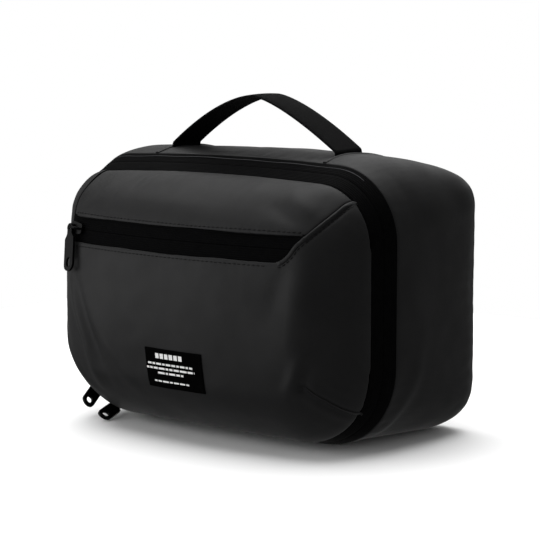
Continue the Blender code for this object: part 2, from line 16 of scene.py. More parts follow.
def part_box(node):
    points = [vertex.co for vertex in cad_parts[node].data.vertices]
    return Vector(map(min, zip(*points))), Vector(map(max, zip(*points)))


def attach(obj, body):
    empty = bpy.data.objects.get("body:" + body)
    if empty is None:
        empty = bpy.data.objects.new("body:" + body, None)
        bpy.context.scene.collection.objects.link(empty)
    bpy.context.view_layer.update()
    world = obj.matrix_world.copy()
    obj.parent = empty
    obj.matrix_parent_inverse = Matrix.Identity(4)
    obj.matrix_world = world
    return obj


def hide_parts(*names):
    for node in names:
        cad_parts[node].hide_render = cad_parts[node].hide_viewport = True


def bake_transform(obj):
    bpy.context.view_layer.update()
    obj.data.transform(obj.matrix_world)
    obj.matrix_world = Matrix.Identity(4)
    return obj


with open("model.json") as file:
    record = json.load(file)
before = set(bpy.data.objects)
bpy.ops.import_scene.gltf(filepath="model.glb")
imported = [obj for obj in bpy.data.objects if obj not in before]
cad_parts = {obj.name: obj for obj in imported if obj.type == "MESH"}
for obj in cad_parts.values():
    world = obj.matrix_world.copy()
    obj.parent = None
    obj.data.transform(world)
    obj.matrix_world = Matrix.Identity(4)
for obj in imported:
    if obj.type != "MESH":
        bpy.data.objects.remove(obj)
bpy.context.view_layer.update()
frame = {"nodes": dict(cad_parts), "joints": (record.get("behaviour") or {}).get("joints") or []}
random.seed(7)

# ---- driving dimensions, from the frame where it has them ---------------------------------
MM = 0.001
HINGE = next(joint for joint in frame["joints"] if joint["name"] == "front_opening")
ZIP_Y = HINGE["pos_m"][1]
TAPE_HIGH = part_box("rear_zip_tape")[1]
TOP_CROWN = 4 * MM
HALF_WIDTH = TAPE_HIGH.x + 0.1 * MM
HEIGHT = TAPE_HIGH.z - TOP_CROWN + 0.2 * MM
TOP_RADIUS = 40 * MM
TOP_LEFT_RADIUS = 29 * MM
BOTTOM_RADIUS = 50 * MM
BAND_HALF = 8.5 * MM
BAND_INSET = (5.0 * MM, 9.0 * MM, 5.0 * MM)
HINGE_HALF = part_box("hinge_strip")[1].x
REAR_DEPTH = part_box("rear_panel")[1].y - ZIP_Y
FRONT_DEPTH = ZIP_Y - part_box("front_lower_panel")[0].y
FACE_RADIUS = 400 * MM
CLOTH = 1.1 * MM
LINING = 0.6 * MM
TAPE = 0.8 * MM

POCKET_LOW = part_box("pocket_tape_upper")[0]
POCKET_Z = POCKET_LOW.z - 0.6 * MM
POCKET_HALF = 7.2 * MM
POCKET_LEFT = POCKET_LOW.x - 0.3 * MM
POCKET_RIGHT = 76 * MM
WELT_RADIUS = 7 * MM

HANDLE_LOW, HANDLE_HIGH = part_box("handle_webbing")
HANDLE_Y = (HANDLE_LOW.y + HANDLE_HIGH.y) / 2 - ZIP_Y
HANDLE_WIDTH = HANDLE_HIGH.y - HANDLE_LOW.y
HANDLE_THICK = 1.5 * MM
HANDLE_TOP = HANDLE_HIGH.z
HANDLE_SPAN = 62.5 * MM
HANDLE_PEAK = 1 * MM
HANDLE_BASE = 168.9 * MM

CORNER_STEPS = 14
PARKED_ZONE = (190.0, 256.0)

# ---- materials ----------------------------------------------------------------------------


class Nodes:
    """Short calls for building a node tree."""

    def __init__(self, name):
        self.material = bpy.data.materials.new(name)
        self.material.use_nodes = True
        self.tree = self.material.node_tree
        self.shader = self.tree.nodes["Principled BSDF"]

    def add(self, kind, **settings):
        node = self.tree.nodes.new(kind)
        for key, value in settings.items():
            setattr(node, key, value)
        return node

    def link(self, start, end):
        self.tree.links.new(start, end)

    def maths(self, operation, first, second=None):
        node = self.add("ShaderNodeMath", operation=operation)
        for socket, value in zip(node.inputs, (first, second)):
            if value is None:
                continue
            if isinstance(value, (int, float)):
                socket.default_value = value
            else:
                self.link(value, socket)
        return node.outputs[0]

    def place(self, kind="UV"):
        return self.add("ShaderNodeTexCoord").outputs[kind]

    def noise(self, coordinates, scale, detail=3.0, roughness=0.55):
        node = self.add("ShaderNodeTexNoise")
        node.inputs["Scale"].default_value = scale
        node.inputs["Detail"].default_value = detail
        node.inputs["Roughness"].default_value = roughness
        self.link(coordinates, node.inputs["Vector"])
        return node.outputs["Fac"]

    def wave(self, value, pitch):
        return self.maths("SINE", self.maths("MULTIPLY", value, 2 * pi / pitch))

    def colours(self, factor, dark, light, low=0.3, high=0.7):
        ramp = self.add("ShaderNodeValToRGB")
        ramp.color_ramp.elements[0].position = low
        ramp.color_ramp.elements[0].color = (*dark, 1.0)
        ramp.color_ramp.elements[1].position = high
        ramp.color_ramp.elements[1].color = (*light, 1.0)
        self.link(factor, ramp.inputs["Fac"])
        self.link(ramp.outputs["Color"], self.shader.inputs["Base Color"])

    def roughness(self, factor, low, high):
        spread = self.add("ShaderNodeMapRange")
        spread.inputs["To Min"].default_value = low
        spread.inputs["To Max"].default_value = high
        self.link(factor, spread.inputs["Value"])
        self.link(spread.outputs["Result"], self.shader.inputs["Roughness"])

    def bump(self, height, distance, strength=1.0, onto=None):
        node = self.add("ShaderNodeBump")
        node.inputs["Strength"].default_value = strength
        node.inputs["Distance"].default_value = distance
        self.link(height, node.inputs["Height"])
        if onto:
            self.link(onto, node.inputs["Normal"])
        return node.outputs["Normal"]

    def finish(self, normal=None, **sockets):
        if normal:
            self.link(normal, self.shader.inputs["Normal"])
        for name, value in sockets.items():
            self.shader.inputs[name.replace("_", " ")].default_value = value
        return self.material


def across_and_along(nodes):
    split = nodes.add("ShaderNodeSeparateXYZ")
    nodes.link(nodes.place(), split.inputs[0])
    return split.outputs[0], split.outputs[1]


def shell_cloth():
    """Coated nylon: a fine plain weave under a thin satin coating, with faint handling marks."""
    nodes = Nodes("shell_cloth")
    u, v = across_and_along(nodes)
    weave = nodes.maths("MULTIPLY", nodes.wave(u, 0.7 * MM), nodes.wave(v, 0.7 * MM))
    space = nodes.place("Object")
    broad = nodes.noise(space, 28.0, 4.0)
    fine = nodes.noise(space, 900.0, 2.0)
    nodes.colours(broad, (0.0052, 0.0052, 0.0054), (0.0066, 0.0066, 0.0068))
    nodes.roughness(nodes.noise(space, 60.0, 3.0), 0.44, 0.58)
    normal = nodes.bump(broad, 0.9 * MM, 0.35)
    normal = nodes.bump(fine, 0.06 * MM, 0.5, normal)
    normal = nodes.bump(weave, 0.02 * MM, 0.5, normal)
    return nodes.finish(normal, Sheen_Weight=0.01, Sheen_Roughness=0.4, Specular_IOR_Level=0.1)


def lining_cloth():
    """Thin plain-woven lining, duller than the shell."""
    nodes = Nodes("lining_cloth")
    u, v = across_and_along(nodes)
    weave = nodes.maths("MULTIPLY", nodes.wave(u, 0.6 * MM), nodes.wave(v, 0.6 * MM))
    space = nodes.place("Object")
    broad = nodes.noise(space, 40.0, 4.0)
    nodes.colours(broad, (0.014, 0.0142, 0.0155), (0.020, 0.0204, 0.022))
    nodes.roughness(broad, 0.62, 0.78)
    normal = nodes.bump(broad, 1.6 * MM, 0.5)
    normal = nodes.bump(weave, 0.05 * MM, 0.6, normal)
    return nodes.finish(normal, Sheen_Weight=0.02, Sheen_Roughness=0.5, Specular_IOR_Level=0.2)


def zip_tape():
    """Woven zip tape: fine ribs along its length and a close cross weave."""
    nodes = Nodes("zip_tape")
    along, across = across_and_along(nodes)
    ribs = nodes.wave(across, 1.3 * MM)
    picks = nodes.wave(along, 0.55 * MM)
    space = nodes.place("Object")
    soft = nodes.noise(space, 260.0, 3.0)
    nodes.colours(soft, (0.0008, 0.0008, 0.0009), (0.0014, 0.0014, 0.0015))
    nodes.roughness(soft, 0.5, 0.66)
    normal = nodes.bump(ribs, 0.11 * MM, 0.8)
    normal = nodes.bump(picks, 0.03 * MM, 0.6, normal)
    return nodes.finish(normal, Specular_IOR_Level=0.009)


def webbing_cloth():
    """Handle webbing: a coarse weave of thick yarns, with a slight fuzz."""
    nodes = Nodes("webbing")
    along, across = across_and_along(nodes)
    slant = nodes.maths("ADD", along, nodes.maths("MULTIPLY", across, 0.8))
    twill = nodes.wave(slant, 1.5 * MM)
    yarns = nodes.wave(across, 1.25 * MM)
    weave = nodes.maths("ADD", nodes.maths("MULTIPLY", twill, 0.6), nodes.maths("MULTIPLY", yarns, 0.7))
    space = nodes.place("Object")
    fuzz = nodes.noise(space, 1400.0, 3.0)
    blotch = nodes.noise(space, 420.0, 4.0)
    nodes.colours(blotch, (0.0010, 0.0010, 0.0011), (0.0042, 0.0042, 0.0044), 0.35, 0.65)
    nodes.roughness(blotch, 0.62, 0.8)
    normal = nodes.bump(weave, 0.16 * MM, 0.8)
    normal = nodes.bump(fuzz, 0.12 * MM, 0.5, normal)
    return nodes.finish(normal, Specular_IOR_Level=0.02)


def coil_nylon():
    nodes = Nodes("zip_coil")
    space = nodes.place("Object")
    scuffs = nodes.noise(space, 700.0, 3.0)
    nodes.colours(scuffs, (0.003, 0.003, 0.0032), (0.005, 0.005, 0.0053))
    nodes.roughness(scuffs, 0.3, 0.46)
    return nodes.finish(nodes.bump(scuffs, 0.05 * MM, 0.4), Specular_IOR_Level=0.3)


def slider_paint():
    """Black paint on zinc: satin, with fine orange peel."""
    nodes = Nodes("slider_metal")
    space = nodes.place("Object")
    peel = nodes.noise(space, 1600.0, 2.0)
    wear = nodes.noise(space, 300.0, 4.0)
    nodes.colours(wear, (0.0008, 0.0008, 0.0009), (0.0016, 0.0016, 0.0017))
    nodes.roughness(wear, 0.3, 0.42)
    normal = nodes.bump(peel, 0.03 * MM, 0.4)
    return nodes.finish(normal, Specular_IOR_Level=0.04)


def label_cloth():
    nodes = Nodes("label")
    u, v = across_and_along(nodes)
    weave = nodes.maths("MULTIPLY", nodes.wave(u, 0.5 * MM), nodes.wave(v, 0.5 * MM))
    soft = nodes.noise(nodes.place("Object"), 300.0, 3.0)
    nodes.colours(soft, (0.0005, 0.0005, 0.0005), (0.0009, 0.0009, 0.0009))
    nodes.roughness(soft, 0.55, 0.7)
    return nodes.finish(nodes.bump(weave, 0.03 * MM, 0.5), Specular_IOR_Level=0.004)


def label_print():
    nodes = Nodes("label_print")
    soft = nodes.noise(nodes.place("Object"), 900.0, 3.0)
    nodes.colours(soft, (0.46, 0.46, 0.455), (0.58, 0.58, 0.575))
    nodes.roughness(soft, 0.6, 0.75)
    return nodes.finish(nodes.bump(soft, 0.03 * MM, 0.4))


def thread():
    nodes = Nodes("thread")
    twist = nodes.noise(nodes.place("Object"), 1800.0, 2.0)
    nodes.colours(twist, (0.0012, 0.0012, 0.0013), (0.0028, 0.0028, 0.003))
    nodes.roughness(twist, 0.5, 0.62)
    return nodes.finish(nodes.bump(twist, 0.06 * MM, 0.6), Specular_IOR_Level=0.1)


def floor_paper():
    nodes = Nodes("floor_paper")
    soft = nodes.noise(nodes.place("Object"), 3.0, 2.0)
    nodes.colours(soft, (0.93, 0.93, 0.93), (0.945, 0.945, 0.945))
    nodes.roughness(soft, 0.85, 0.9)
    return nodes.finish(nodes.bump(soft, 0.1 * MM, 0.1), Specular_IOR_Level=0.1)


SHELL = shell_cloth()
LINING_LOOK = lining_cloth()
TAPE_LOOK = zip_tape()
WEBBING = webbing_cloth()
COIL_LOOK = coil_nylon()
PAINT = slider_paint()
LABEL_LOOK = label_cloth()
PRINT = label_print()
THREAD = thread()

# ---- the bag's surfaces -------------------------------------------------------------------


def arc(centre, radius, start, end, steps):
    points = []
    for i in range(steps + 1):
        angle = radians(start + (end - start) * i / steps)
        points.append((centre[0] + radius * cos(angle), centre[1] + radius * sin(angle)))
    return points


def spread(start, end, count):
    """Points strictly between two points."""
    points = []
    for i in range(1, count + 1):
        t = i / (count + 1)
        points.append((start[0] + (end[0] - start[0]) * t, start[1] + (end[1] - start[1]) * t))
    return points


def crown_at(x, z, half):
    """How much the top bulges upward, most in its middle and none below mid-height."""
    if z < HEIGHT * 0.5:
        return 0.0
    lift = min(1.0, (z - HEIGHT * 0.5) / (HEIGHT * 0.35))
    return TOP_CROWN * lift * lift * (1.0 - (x / half) ** 2)


def corner_radii(side, top, base, tighter=0.0):
    right = max(TOP_RADIUS - 0.5 * (side + top) - tighter, 10 * MM)
    left = max(TOP_LEFT_RADIUS - 0.5 * (side + top) - 0.4 * tighter, 9 * MM)
    low = max(BOTTOM_RADIUS - 0.5 * (side + base) - tighter, 10 * MM)
    return right, left, low


def outline(side, top, base, tighter=0.0):
    """The loop seen from the front, from the middle of the base up the right side and round."""
    half, low, high = HALF_WIDTH - side, base, HEIGHT - top
    right_radius, left_radius, base_radius = corner_radii(side, top, base, tighter)
    right_low = arc((half - base_radius, low + base_radius), base_radius, -90, 0, CORNER_STEPS)
    right_high = arc((half - right_radius, high - right_radius), right_radius, 0, 90, CORNER_STEPS)
    left_high = arc((-half + left_radius, high - left_radius), left_radius, 90, 180, CORNER_STEPS)
    left_low = arc((-half + base_radius, low + base_radius), base_radius, 180, 270, CORNER_STEPS)
    points = [(0.0, low)]
    points += spread((0.0, low), right_low[0], 5)
    points += right_low + spread(right_low[-1], right_high[0], 6)
    points += right_high + spread(right_high[-1], left_high[0], 17)
    points += left_high + spread(left_high[-1], left_low[0], 6)
    points += left_low + spread(left_low[-1], (0.0, low), 5)
    return [(x, z + crown_at(x, z, half)) for x, z in points]


def face_depth(z):
    """How far the face stands out in front of the zip at a height."""
    return FRONT_DEPTH - 5.8 * MM * ((z - 75 * MM) / (45 * MM)) ** 2


FACE_AXIS = FACE_RADIUS - face_depth(POCKET_Z)


def face_y(x, z):
    reach = FACE_AXIS + face_depth(z)
    return FACE_AXIS - sqrt(reach * reach - x * x)


def room_inside(x, z, side, top, base):
    """How far a point of the front view is inside an inset outline; negative outside it."""
    half, low, high = HALF_WIDTH - side, base, HEIGHT - top
    # The crown depends on the height without it, so it is taken off in two steps.
    flat = z - crown_at(x, z, half)
    flat = z - crown_at(x, flat, half)
    right_radius, left_radius, base_radius = corner_radii(side, top, base)
    if flat > HEIGHT * 0.5:
        radius = right_radius if x > 0 else left_radius
        past = flat - (high - radius)
    else:
        radius = base_radius
        past = low + base_radius - flat
    over = abs(x) - (half - radius)
    if over > 0 and past > 0:
        return radius - hypot(over, past)
    return min(half - abs(x), flat - low, high - flat)


def rim_insets(share):
    """Insets of a front ring: share 0 is the rim by the zip, 1 is where the face begins."""
    return (
        BAND_INSET[0] + 30 * MM * share,
        BAND_INSET[1] + 27 * MM * share,
        BAND_INSET[2] + 33 * MM * share,
    )


def share_at(x, z):
    """Which front ring a point of the front view is on; see rim_insets."""
    if room_inside(x, z, *rim_insets(0.0)) <= 0:
        return 0.0
    if room_inside(x, z, *rim_insets(1.0)) >= 0:
        return 1.0
    low, high = 0.0, 1.0
    for _ in range(16):
        middle = (low + high) / 2
        if room_inside(x, z, *rim_insets(middle)) >= 0:
            low = middle
        else:
            high = middle
    return low


def round_out(share):
    """How far out the front half is, 0 at its rim to 1 at its face, along a rounded edge."""
    power = 1.9
    return (1.0 - (1.0 - share) ** power) ** (1 / power)


def front_point(x, z):
    """A point of the front half's outer skin from its place in the front view."""
    y = -BAND_HALF + (face_y(x, z) + BAND_HALF) * round_out(share_at(x, z))
    return Vector((x, y, z))


REAR_PROFILE = (
    (BAND_HALF + 0.3 * MM, 0.0, 0.0, 0.0),
    (22 * MM, -1.2 * MM, -2.6 * MM, 0.0),
    (36 * MM, -1.8 * MM, -3.4 * MM, 0.0),
    (58 * MM, -2.2 * MM, -1.6 * MM, 0.0),
    (80 * MM, -1.2 * MM, 3.6 * MM, 0.3 * MM),
    (91 * MM, 1.6 * MM, 8.5 * MM, 2.4 * MM),
)


def rear_insets(y):
    """Side, top and base insets of the rear half at depth y, on a smooth curve."""
    rows = REAR_PROFILE
    y = min(max(y, rows[0][0]), rows[-1][0])
    k = 0
    while k < len(rows) - 2 and y > rows[k + 1][0]:
        k += 1
    before, start = rows[max(k - 1, 0)], rows[k]
    end, after = rows[k + 1], rows[min(k + 2, len(rows) - 1)]
    t = (y - start[0]) / (end[0] - start[0])
    values = []
    for i in (1, 2, 3):
        span = end[0] - start[0]
        rise_in = (end[i] - before[i]) / (end[0] - before[0]) * span
        rise_out = (after[i] - start[i]) / (after[0] - start[0]) * span
        value = start[i] * (2 * t ** 3 - 3 * t ** 2 + 1) + rise_in * (t ** 3 - 2 * t ** 2 + t)
        value += end[i] * (3 * t ** 2 - 2 * t ** 3) + rise_out * (t ** 3 - t ** 2)
        values.append(value)
    return values


def rear_ring(y, extra=0.0):
    side, top, base = rear_insets(y)
    tighter = 18 * MM * max(0.0, (y - 25 * MM) / (60 * MM))
    points = outline(side + extra, top + extra, base + extra, tighter)
    return [Vector((x, y, z)) for x, z in points]


def fine(ring, count=420):
    """The same closed ring with many evenly spaced points."""
    return even(ring + [ring[0]], count)[:-1]


# ---- mesh helpers -------------------------------------------------------------------------


def grid(name, rows, look, closed=False, flip=False, flat_uv=False, middle=None):
    """A sheet from rows of points, with its UV map in metres along and across it."""
    bm = bmesh.new()
    layer = bm.loops.layers.uv.new("UVMap")
    verts = [[bm.verts.new(point) for point in row] for row in rows]
    count = len(rows[0])
    along = [0.0]
    centre_row = rows[len(rows) // 2]
    for j in range(count):
        along.append(along[-1] + (centre_row[(j + 1) % count] - centre_row[j]).length)
    across = [0.0]
    for a, b in zip(rows[:-1], rows[1:]):
        step = sum((p - q).length for p, q in zip(a, b)) / count
        across.append(across[-1] + step)
    for i in range(len(rows) - 1):
        for j in range(count if closed else count - 1):
            k = (j + 1) % count
            corners = [(i, j, j), (i, k, j + 1), (i + 1, k, j + 1), (i + 1, j, j)]
            if flip:
                corners.reverse()
            face = bm.faces.new([verts[a][b] for a, b, c in corners])
            face.smooth = True
            for loop, (a, b, c) in zip(face.loops, corners):
                point = loop.vert.co
                loop[layer].uv = (point.x, point.z) if flat_uv else (along[c], across[a])
    if middle is not None:
        hub = bm.verts.new(middle)
        for j in range(count):
            trio = [verts[-1][j], verts[-1][(j + 1) % count], hub]
            if flip:
                trio.reverse()
            face = bm.faces.new(trio)
            face.smooth = True
            for loop in face.loops:
                loop[layer].uv = (loop.vert.co.x, loop.vert.co.z)
    return piece(name, bm, look)


def piece(name, bm, look):
    mesh = bpy.data.meshes.new(name)
    bm.to_mesh(mesh)
    bm.free()
    mesh.materials.append(look)
    item = bpy.data.objects.new(name, mesh)
    bpy.context.scene.collection.objects.link(item)
    item.location.y = ZIP_Y
    return item


def thicken(item, thickness):
    wall = item.modifiers.new("wall", "SOLIDIFY")
    wall.thickness = thickness
    wall.offset = -1.0


def round_about(centre, up, other, radius, sides):
    """A ring of points round a centre, in the plane of two directions."""
    points = []
    for s in range(sides):
        angle = 2 * pi * s / sides
        points.append(centre + (up * cos(angle) + other * sin(angle)) * radius)
    return points


def tube(bm, rings):
    """A closed tube through rings of points, with flat ends."""
    loops = [[bm.verts.new(point) for point in ring] for ring in rings]
    sides = len(loops[0])
    for a, b in zip(loops[:-1], loops[1:]):
        for s in range(sides):
            t = (s + 1) % sides
            bm.faces.new((a[s], a[t], b[t], b[s])).smooth = True
    bm.faces.new(list(reversed(loops[0])))
    bm.faces.new(loops[-1])


def soften(item):
    smooth = item.modifiers.new("smooth", "SUBSURF")
    smooth.levels = 1
    smooth.render_levels = 1


def relief(item, height_at):
    """Moves each point along its normal by the height that the function gives for it."""
    normals = [v.normal.copy() for v in item.data.vertices]
    for vertex, normal in zip(item.data.vertices, normals):
        vertex.co += normal * height_at(vertex.co)


def hill(distance, width):
    """A smooth bump, 1 at no distance."""
    return exp(-(distance / width) ** 2)


def line_distance(x, z, path):
    """Distance to a path of the front view, and how far along it the nearest point is, 0 to 1."""
    best, place = 1.0, 0.0
    count = len(path) - 1
    for k in range(count):
        ax, az = path[k]
        bx, bz = path[k + 1]
        dx, dz = bx - ax, bz - az
        t = max(0.0, min(1.0, ((x - ax) * dx + (z - az) * dz) / (dx * dx + dz * dz)))
        gap = hypot(x - ax - dx * t, z - az - dz * t)
        if gap < best:
            best, place = gap, (k + t) / count
    return best, place


def crease(x, z, path, width, height):
    """A soft ridge along a path that fades out at both ends."""
    gap, place = line_distance(x, z, path)
    if gap > 4 * width:
        return 0.0
    return height * hill(gap, width) * sin(pi * min(max(place, 0.04), 0.96)) ** 0.6


def in_mm(*points):
    return [(x * MM, z * MM) for x, z in points]


def ripple(point, size, amount, seed=0.0):
    return amount * noise.noise(point / size + Vector((seed, seed * 1.7, 0.3)))


# ---- front half ---------------------------------------------------------------------------

SEAM_LEFT = in_mm((-90.5, 126.7), (-91.4, 134.0), (-90.2, 142.0), (-86.8, 151.6))
SEAM_RIGHT = in_mm((85.6, 126.7), (90.2, 132.4), (94.4, 138.6), (97.2, 144.9))


def along_path(path, t):
    """A point of a path at share t, on a smooth curve through its points."""
    count = len(path) - 1
    k = min(int(t * count), count - 1)
    s = t * count - k
    p = [path[max(k - 1, 0)], path[k], path[k + 1], path[min(k + 2, count)]]
    point = []
    for axis in (0, 1):
        a, b, c, d = (q[axis] for q in p)
        value = 2 * b + (c - a) * s + (2 * a - 5 * b + 4 * c - d) * s * s
        value += (3 * b - a - 3 * c + d) * s ** 3
        point.append(value / 2)
    return tuple(point)


def lengths_along(points):
    """The distance along a line to each of its points."""
    reach = [0.0]
    for a, b in zip(points[:-1], points[1:]):
        reach.append(reach[-1] + (b - a).length)
    return reach


def heading(line, i):
    """The way a line of points runs at its point i, not normalised."""
    return line[min(i + 1, len(line) - 1)] - line[max(i - 1, 0)]


def even(points, count):
    """The same line with points at even distances, in 2-D or 3-D."""
    vectors = [Vector(p) for p in points]
    reach = lengths_along(vectors)
    result, k = [], 0
    for i in range(count + 1):
        want = reach[-1] * i / count
        while k < len(reach) - 2 and reach[k + 1] < want:
            k += 1
        span = reach[k + 1] - reach[k]
        t = 0.0 if span == 0 else (want - reach[k]) / span
        result.append(vectors[k].lerp(vectors[k + 1], min(max(t, 0.0), 1.0)))
    return result


def rim_between(start, end):
    """The zip band's front rim from near one front-view point to near another, anticlockwise."""
    ring = outline(*BAND_INSET)
    total = len(ring)
    first = min(range(total), key=lambda i: hypot(ring[i][0] - start[0], ring[i][1] - start[1]))
    last = min(range(total), key=lambda i: hypot(ring[i][0] - end[0], ring[i][1] - end[1]))
    points = [ring[(first + i) % total] for i in range((last - first) % total + 1)]
    points[0], points[-1] = start, end
    return points


def on_rim(point):
    """The rim point nearest to a front-view point, by walking out from the middle."""
    middle = Vector((0.0, HEIGHT * 0.5))
    away = Vector(point) - middle
    low, high = 0.5, 1.3
    for _ in range(24):
        share = (low + high) / 2
        x, z = middle + away * share
        if room_inside(x, z, *BAND_INSET) > 0:
            low = share
        else:
            high = share
    return tuple(middle + away * low)


def patch_rows(near, far, count):
    """Rows over the front's skin between two lines of the front view, evenly spaced in 3-D."""
    columns = []
    for a, b in zip(near, far):
        a, b = Vector(a), Vector(b)
        column = []
        for i in range(61):
            t = 1.0 - (1.0 - i / 60) ** 2.4
            x, z = a.lerp(b, t)
            column.append(front_point(x, z))
        columns.append(even(column, count))
    return [[column[i] for column in columns] for i in range(count + 1)]


def turned_under(row, following):
    """A row just behind an edge row, so that the edge reads as folded cloth."""
    lips = []
    for j, point in enumerate(row):
        side = heading(row, j)
        run = following[j] - point
        down = side.cross(run).normalized() if side.length and run.length else Vector((0, 1, 0))
        if down.dot(Vector((0.0, 60 * MM, HEIGHT * 0.5)) - point) < 0:
            down = -down
        lips.append(point + down * 1.1 * MM + run.normalized() * 0.25 * MM)
    return lips


def rolled(rows):
    """The rows with their first and last edges turned under."""
    return [turned_under(rows[0], rows[1])] + rows + [turned_under(rows[-1], rows[-2])]


LEFT_CREASES = (
    (in_mm((-83, 90), (-76, 72), (-69, 55), (-64, 28)), 3.6 * MM, 1.8 * MM),
    (in_mm((-78, 92), (-68, 70), (-59, 50), (-53, 30)), 3.4 * MM, -1.0 * MM),
    (in_mm((-66, 79), (-54, 62), (-42, 44), (-30, 30)), 5.4 * MM, 1.2 * MM),
    (in_mm((-96, 66), (-90, 48), (-80, 30), (-70, 20)), 3.4 * MM, 1.4 * MM),
    (in_mm((-99, 84), (-95, 64), (-87, 44), (-78, 31)), 3.2 * MM, -0.9 * MM),
)
DART = in_mm((87, 43.1), (94.8, 35.6), (103.2, 24.6))
DART_CREASES = (
    (in_mm((87.4, 61), (84, 50), (77, 36)), 3.6 * MM, 1.3 * MM),
    (in_mm((92, 58), (89, 48), (86, 34)), 3.0 * MM, -1.0 * MM),
    (in_mm((100, 96), (97, 72), (92, 52)), 7.0 * MM, -0.6 * MM),
)
POCKET_CREASES = (
    (in_mm((79, 111), (74, 100), (70, 84)), 6.0 * MM, -0.9 * MM),
    (in_mm((88, 118), (90, 104), (88, 88)), 7.0 * MM, 0.8 * MM),
    (in_mm((-76, 110), (-74, 98), (-70, 84)), 5.0 * MM, 0.6 * MM),
)
UPPER_CREASES = (
    (in_mm((62, 150), (76, 143), (88, 137)), 3.6 * MM, 1.0 * MM),
    (in_mm((56, 143), (70, 137), (84, 132)), 3.4 * MM, -0.8 * MM),
    (in_mm((-84, 130), (-70, 138), (-62, 148)), 6.0 * MM, 0.7 * MM),
    (in_mm((-20, 130), (-12, 139), (-8, 149)), 7.0 * MM, 0.5 * MM),
)


def pucker(point, place, edge, reach, pitch, amount):
    """Small gathers square to a stitched edge, dying out away from it."""
    wander = 4.0 * noise.noise(point / (19 * MM))
    share = 0.35 + 1.3 * max(0.0, noise.noise(point / (33 * MM) + Vector((4.0, 1.0, 7.0))))
    return amount * share * exp(-edge / reach) * sin(2 * pi * place / pitch + wander)


def rim_place(point):
    return abs(point.x) + abs(point.z)


def skin_point(x, z, height_at, lift):
    """A point of a front panel with its relief, lifted off the cloth."""
    point = front_point(x, z)
    step = 0.5 * MM
    out = (front_point(x + step, z) - point).cross(front_point(x, z + step) - point).normalized()
    return point + out * (height_at(point) + lift)


def lower_relief(point):
    x, z = point.x, point.z
    height = ripple(point, 34 * MM, 0.9 * MM) + ripple(point, 13 * MM, 0.22 * MM, 3.0)
    for path, width, rise in LEFT_CREASES + DART_CREASES + POCKET_CREASES:
        height += crease(x, z, path, width, rise)
    gap, place = line_distance(x, z, DART)
    height -= 1.3 * MM * hill(gap, 1.5 * MM)
    height += 0.6 * MM * hill(gap - 3.0 * MM, 2.0 * MM) * (place > 0.01)
    height -= 1.4 * MM * hill(hypot(x - DART[0][0], z - DART[0][1]), 3.0 * MM)
    gap, place = line_distance(x, z, SEAM_RIGHT)
    height += 0.55 * MM * hill(gap - 1.2 * MM, 1.3 * MM) - 0.35 * MM * hill(gap - 3.4 * MM, 0.9 * MM)
    rim = room_inside(x, z, *BAND_INSET)
    height += pucker(point, rim_place(point), max(rim, 0.0), 7 * MM, 8.5 * MM, 0.28 * MM)
    below = POCKET_Z - POCKET_HALF - z
    if below > -1 * MM and x < POCKET_RIGHT:
        height += pucker(point, x, max(below, 0.0), 6 * MM, 7 * MM, 0.12 * MM)
    settle = min(1.0, max(rim, 0.0) / (4 * MM))
    height *= 0.25 + 0.75 * settle
    sole = min(1.0, max(0.0, (z - 9 * MM) / (10 * MM)))
    return height * (0.2 + 0.8 * sole)


def upper_relief(point):
    x, z = point.x, point.z
    height = ripple(point, 30 * MM, 0.8 * MM, 5.0) + ripple(point, 12 * MM, 0.25 * MM, 8.0)
    for path, width, rise in UPPER_CREASES:
        height += crease(x, z, path, width, rise)
    rim = room_inside(x, z, *BAND_INSET)
    height += pucker(point, x, max(rim, 0.0), 7 * MM, 9 * MM, 0.18 * MM)
    above = z - POCKET_Z - POCKET_HALF
    height += pucker(point, x, max(above, 0.0), 6 * MM, 7 * MM, 0.12 * MM)
    settle = min(1.0, max(rim, 0.0) / (4 * MM))
    return height * (0.25 + 0.75 * settle)


def upper_panel():
    """The panel above the pocket zip, between the two short seams."""
    left_foot, right_foot = SEAM_LEFT[0], SEAM_RIGHT[0]
    left_top, right_top = on_rim(SEAM_LEFT[-1]), on_rim(SEAM_RIGHT[-1])
    columns = 96
    near = even([left_foot, right_foot], columns)
    far = even(list(reversed(rim_between(right_top, left_top))), columns)
    rows = patch_rows(near, far, 22)
    for i, row in enumerate(rows):
        t = i / (len(rows) - 1)
        seams = (along_path(SEAM_LEFT[:-1] + [left_top], t), along_path(SEAM_RIGHT[:-1] + [right_top], t))
        for j, (x, z), reach in ((0, seams[0], 1), (len(row) - 1, seams[1], -1)):
            pull = front_point(x, z) - row[j]
            for k in range(14):
                share = (1 - k / 14) ** 2
                row[j + reach * k] = row[j + reach * k] + pull * share
    item = grid("front_upper_panel_skin", rolled(rows), SHELL, flat_uv=True)
    relief(item, upper_relief)
    thicken(item, CLOTH)
    soften(item)
    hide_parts("front_upper_panel")
    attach(item, "front_half")


def welt_line():
    """The lower panel's upper edge: down the pocket zip's left end, and the bend at its right."""
    low = POCKET_Z - POCKET_HALF
    corner_x = POCKET_RIGHT - 2 * MM
    line = [(POCKET_LEFT, POCKET_Z + POCKET_HALF), (POCKET_LEFT, low)]
    bend = [(corner_x - WELT_RADIUS, low), (corner_x - 1 * MM, low + 0.7 * MM)]
    bend += [(corner_x + 3.6 * MM, low + 4.4 * MM), (corner_x + 7.4 * MM, low + 10.4 * MM), SEAM_RIGHT[0]]
    return line, bend


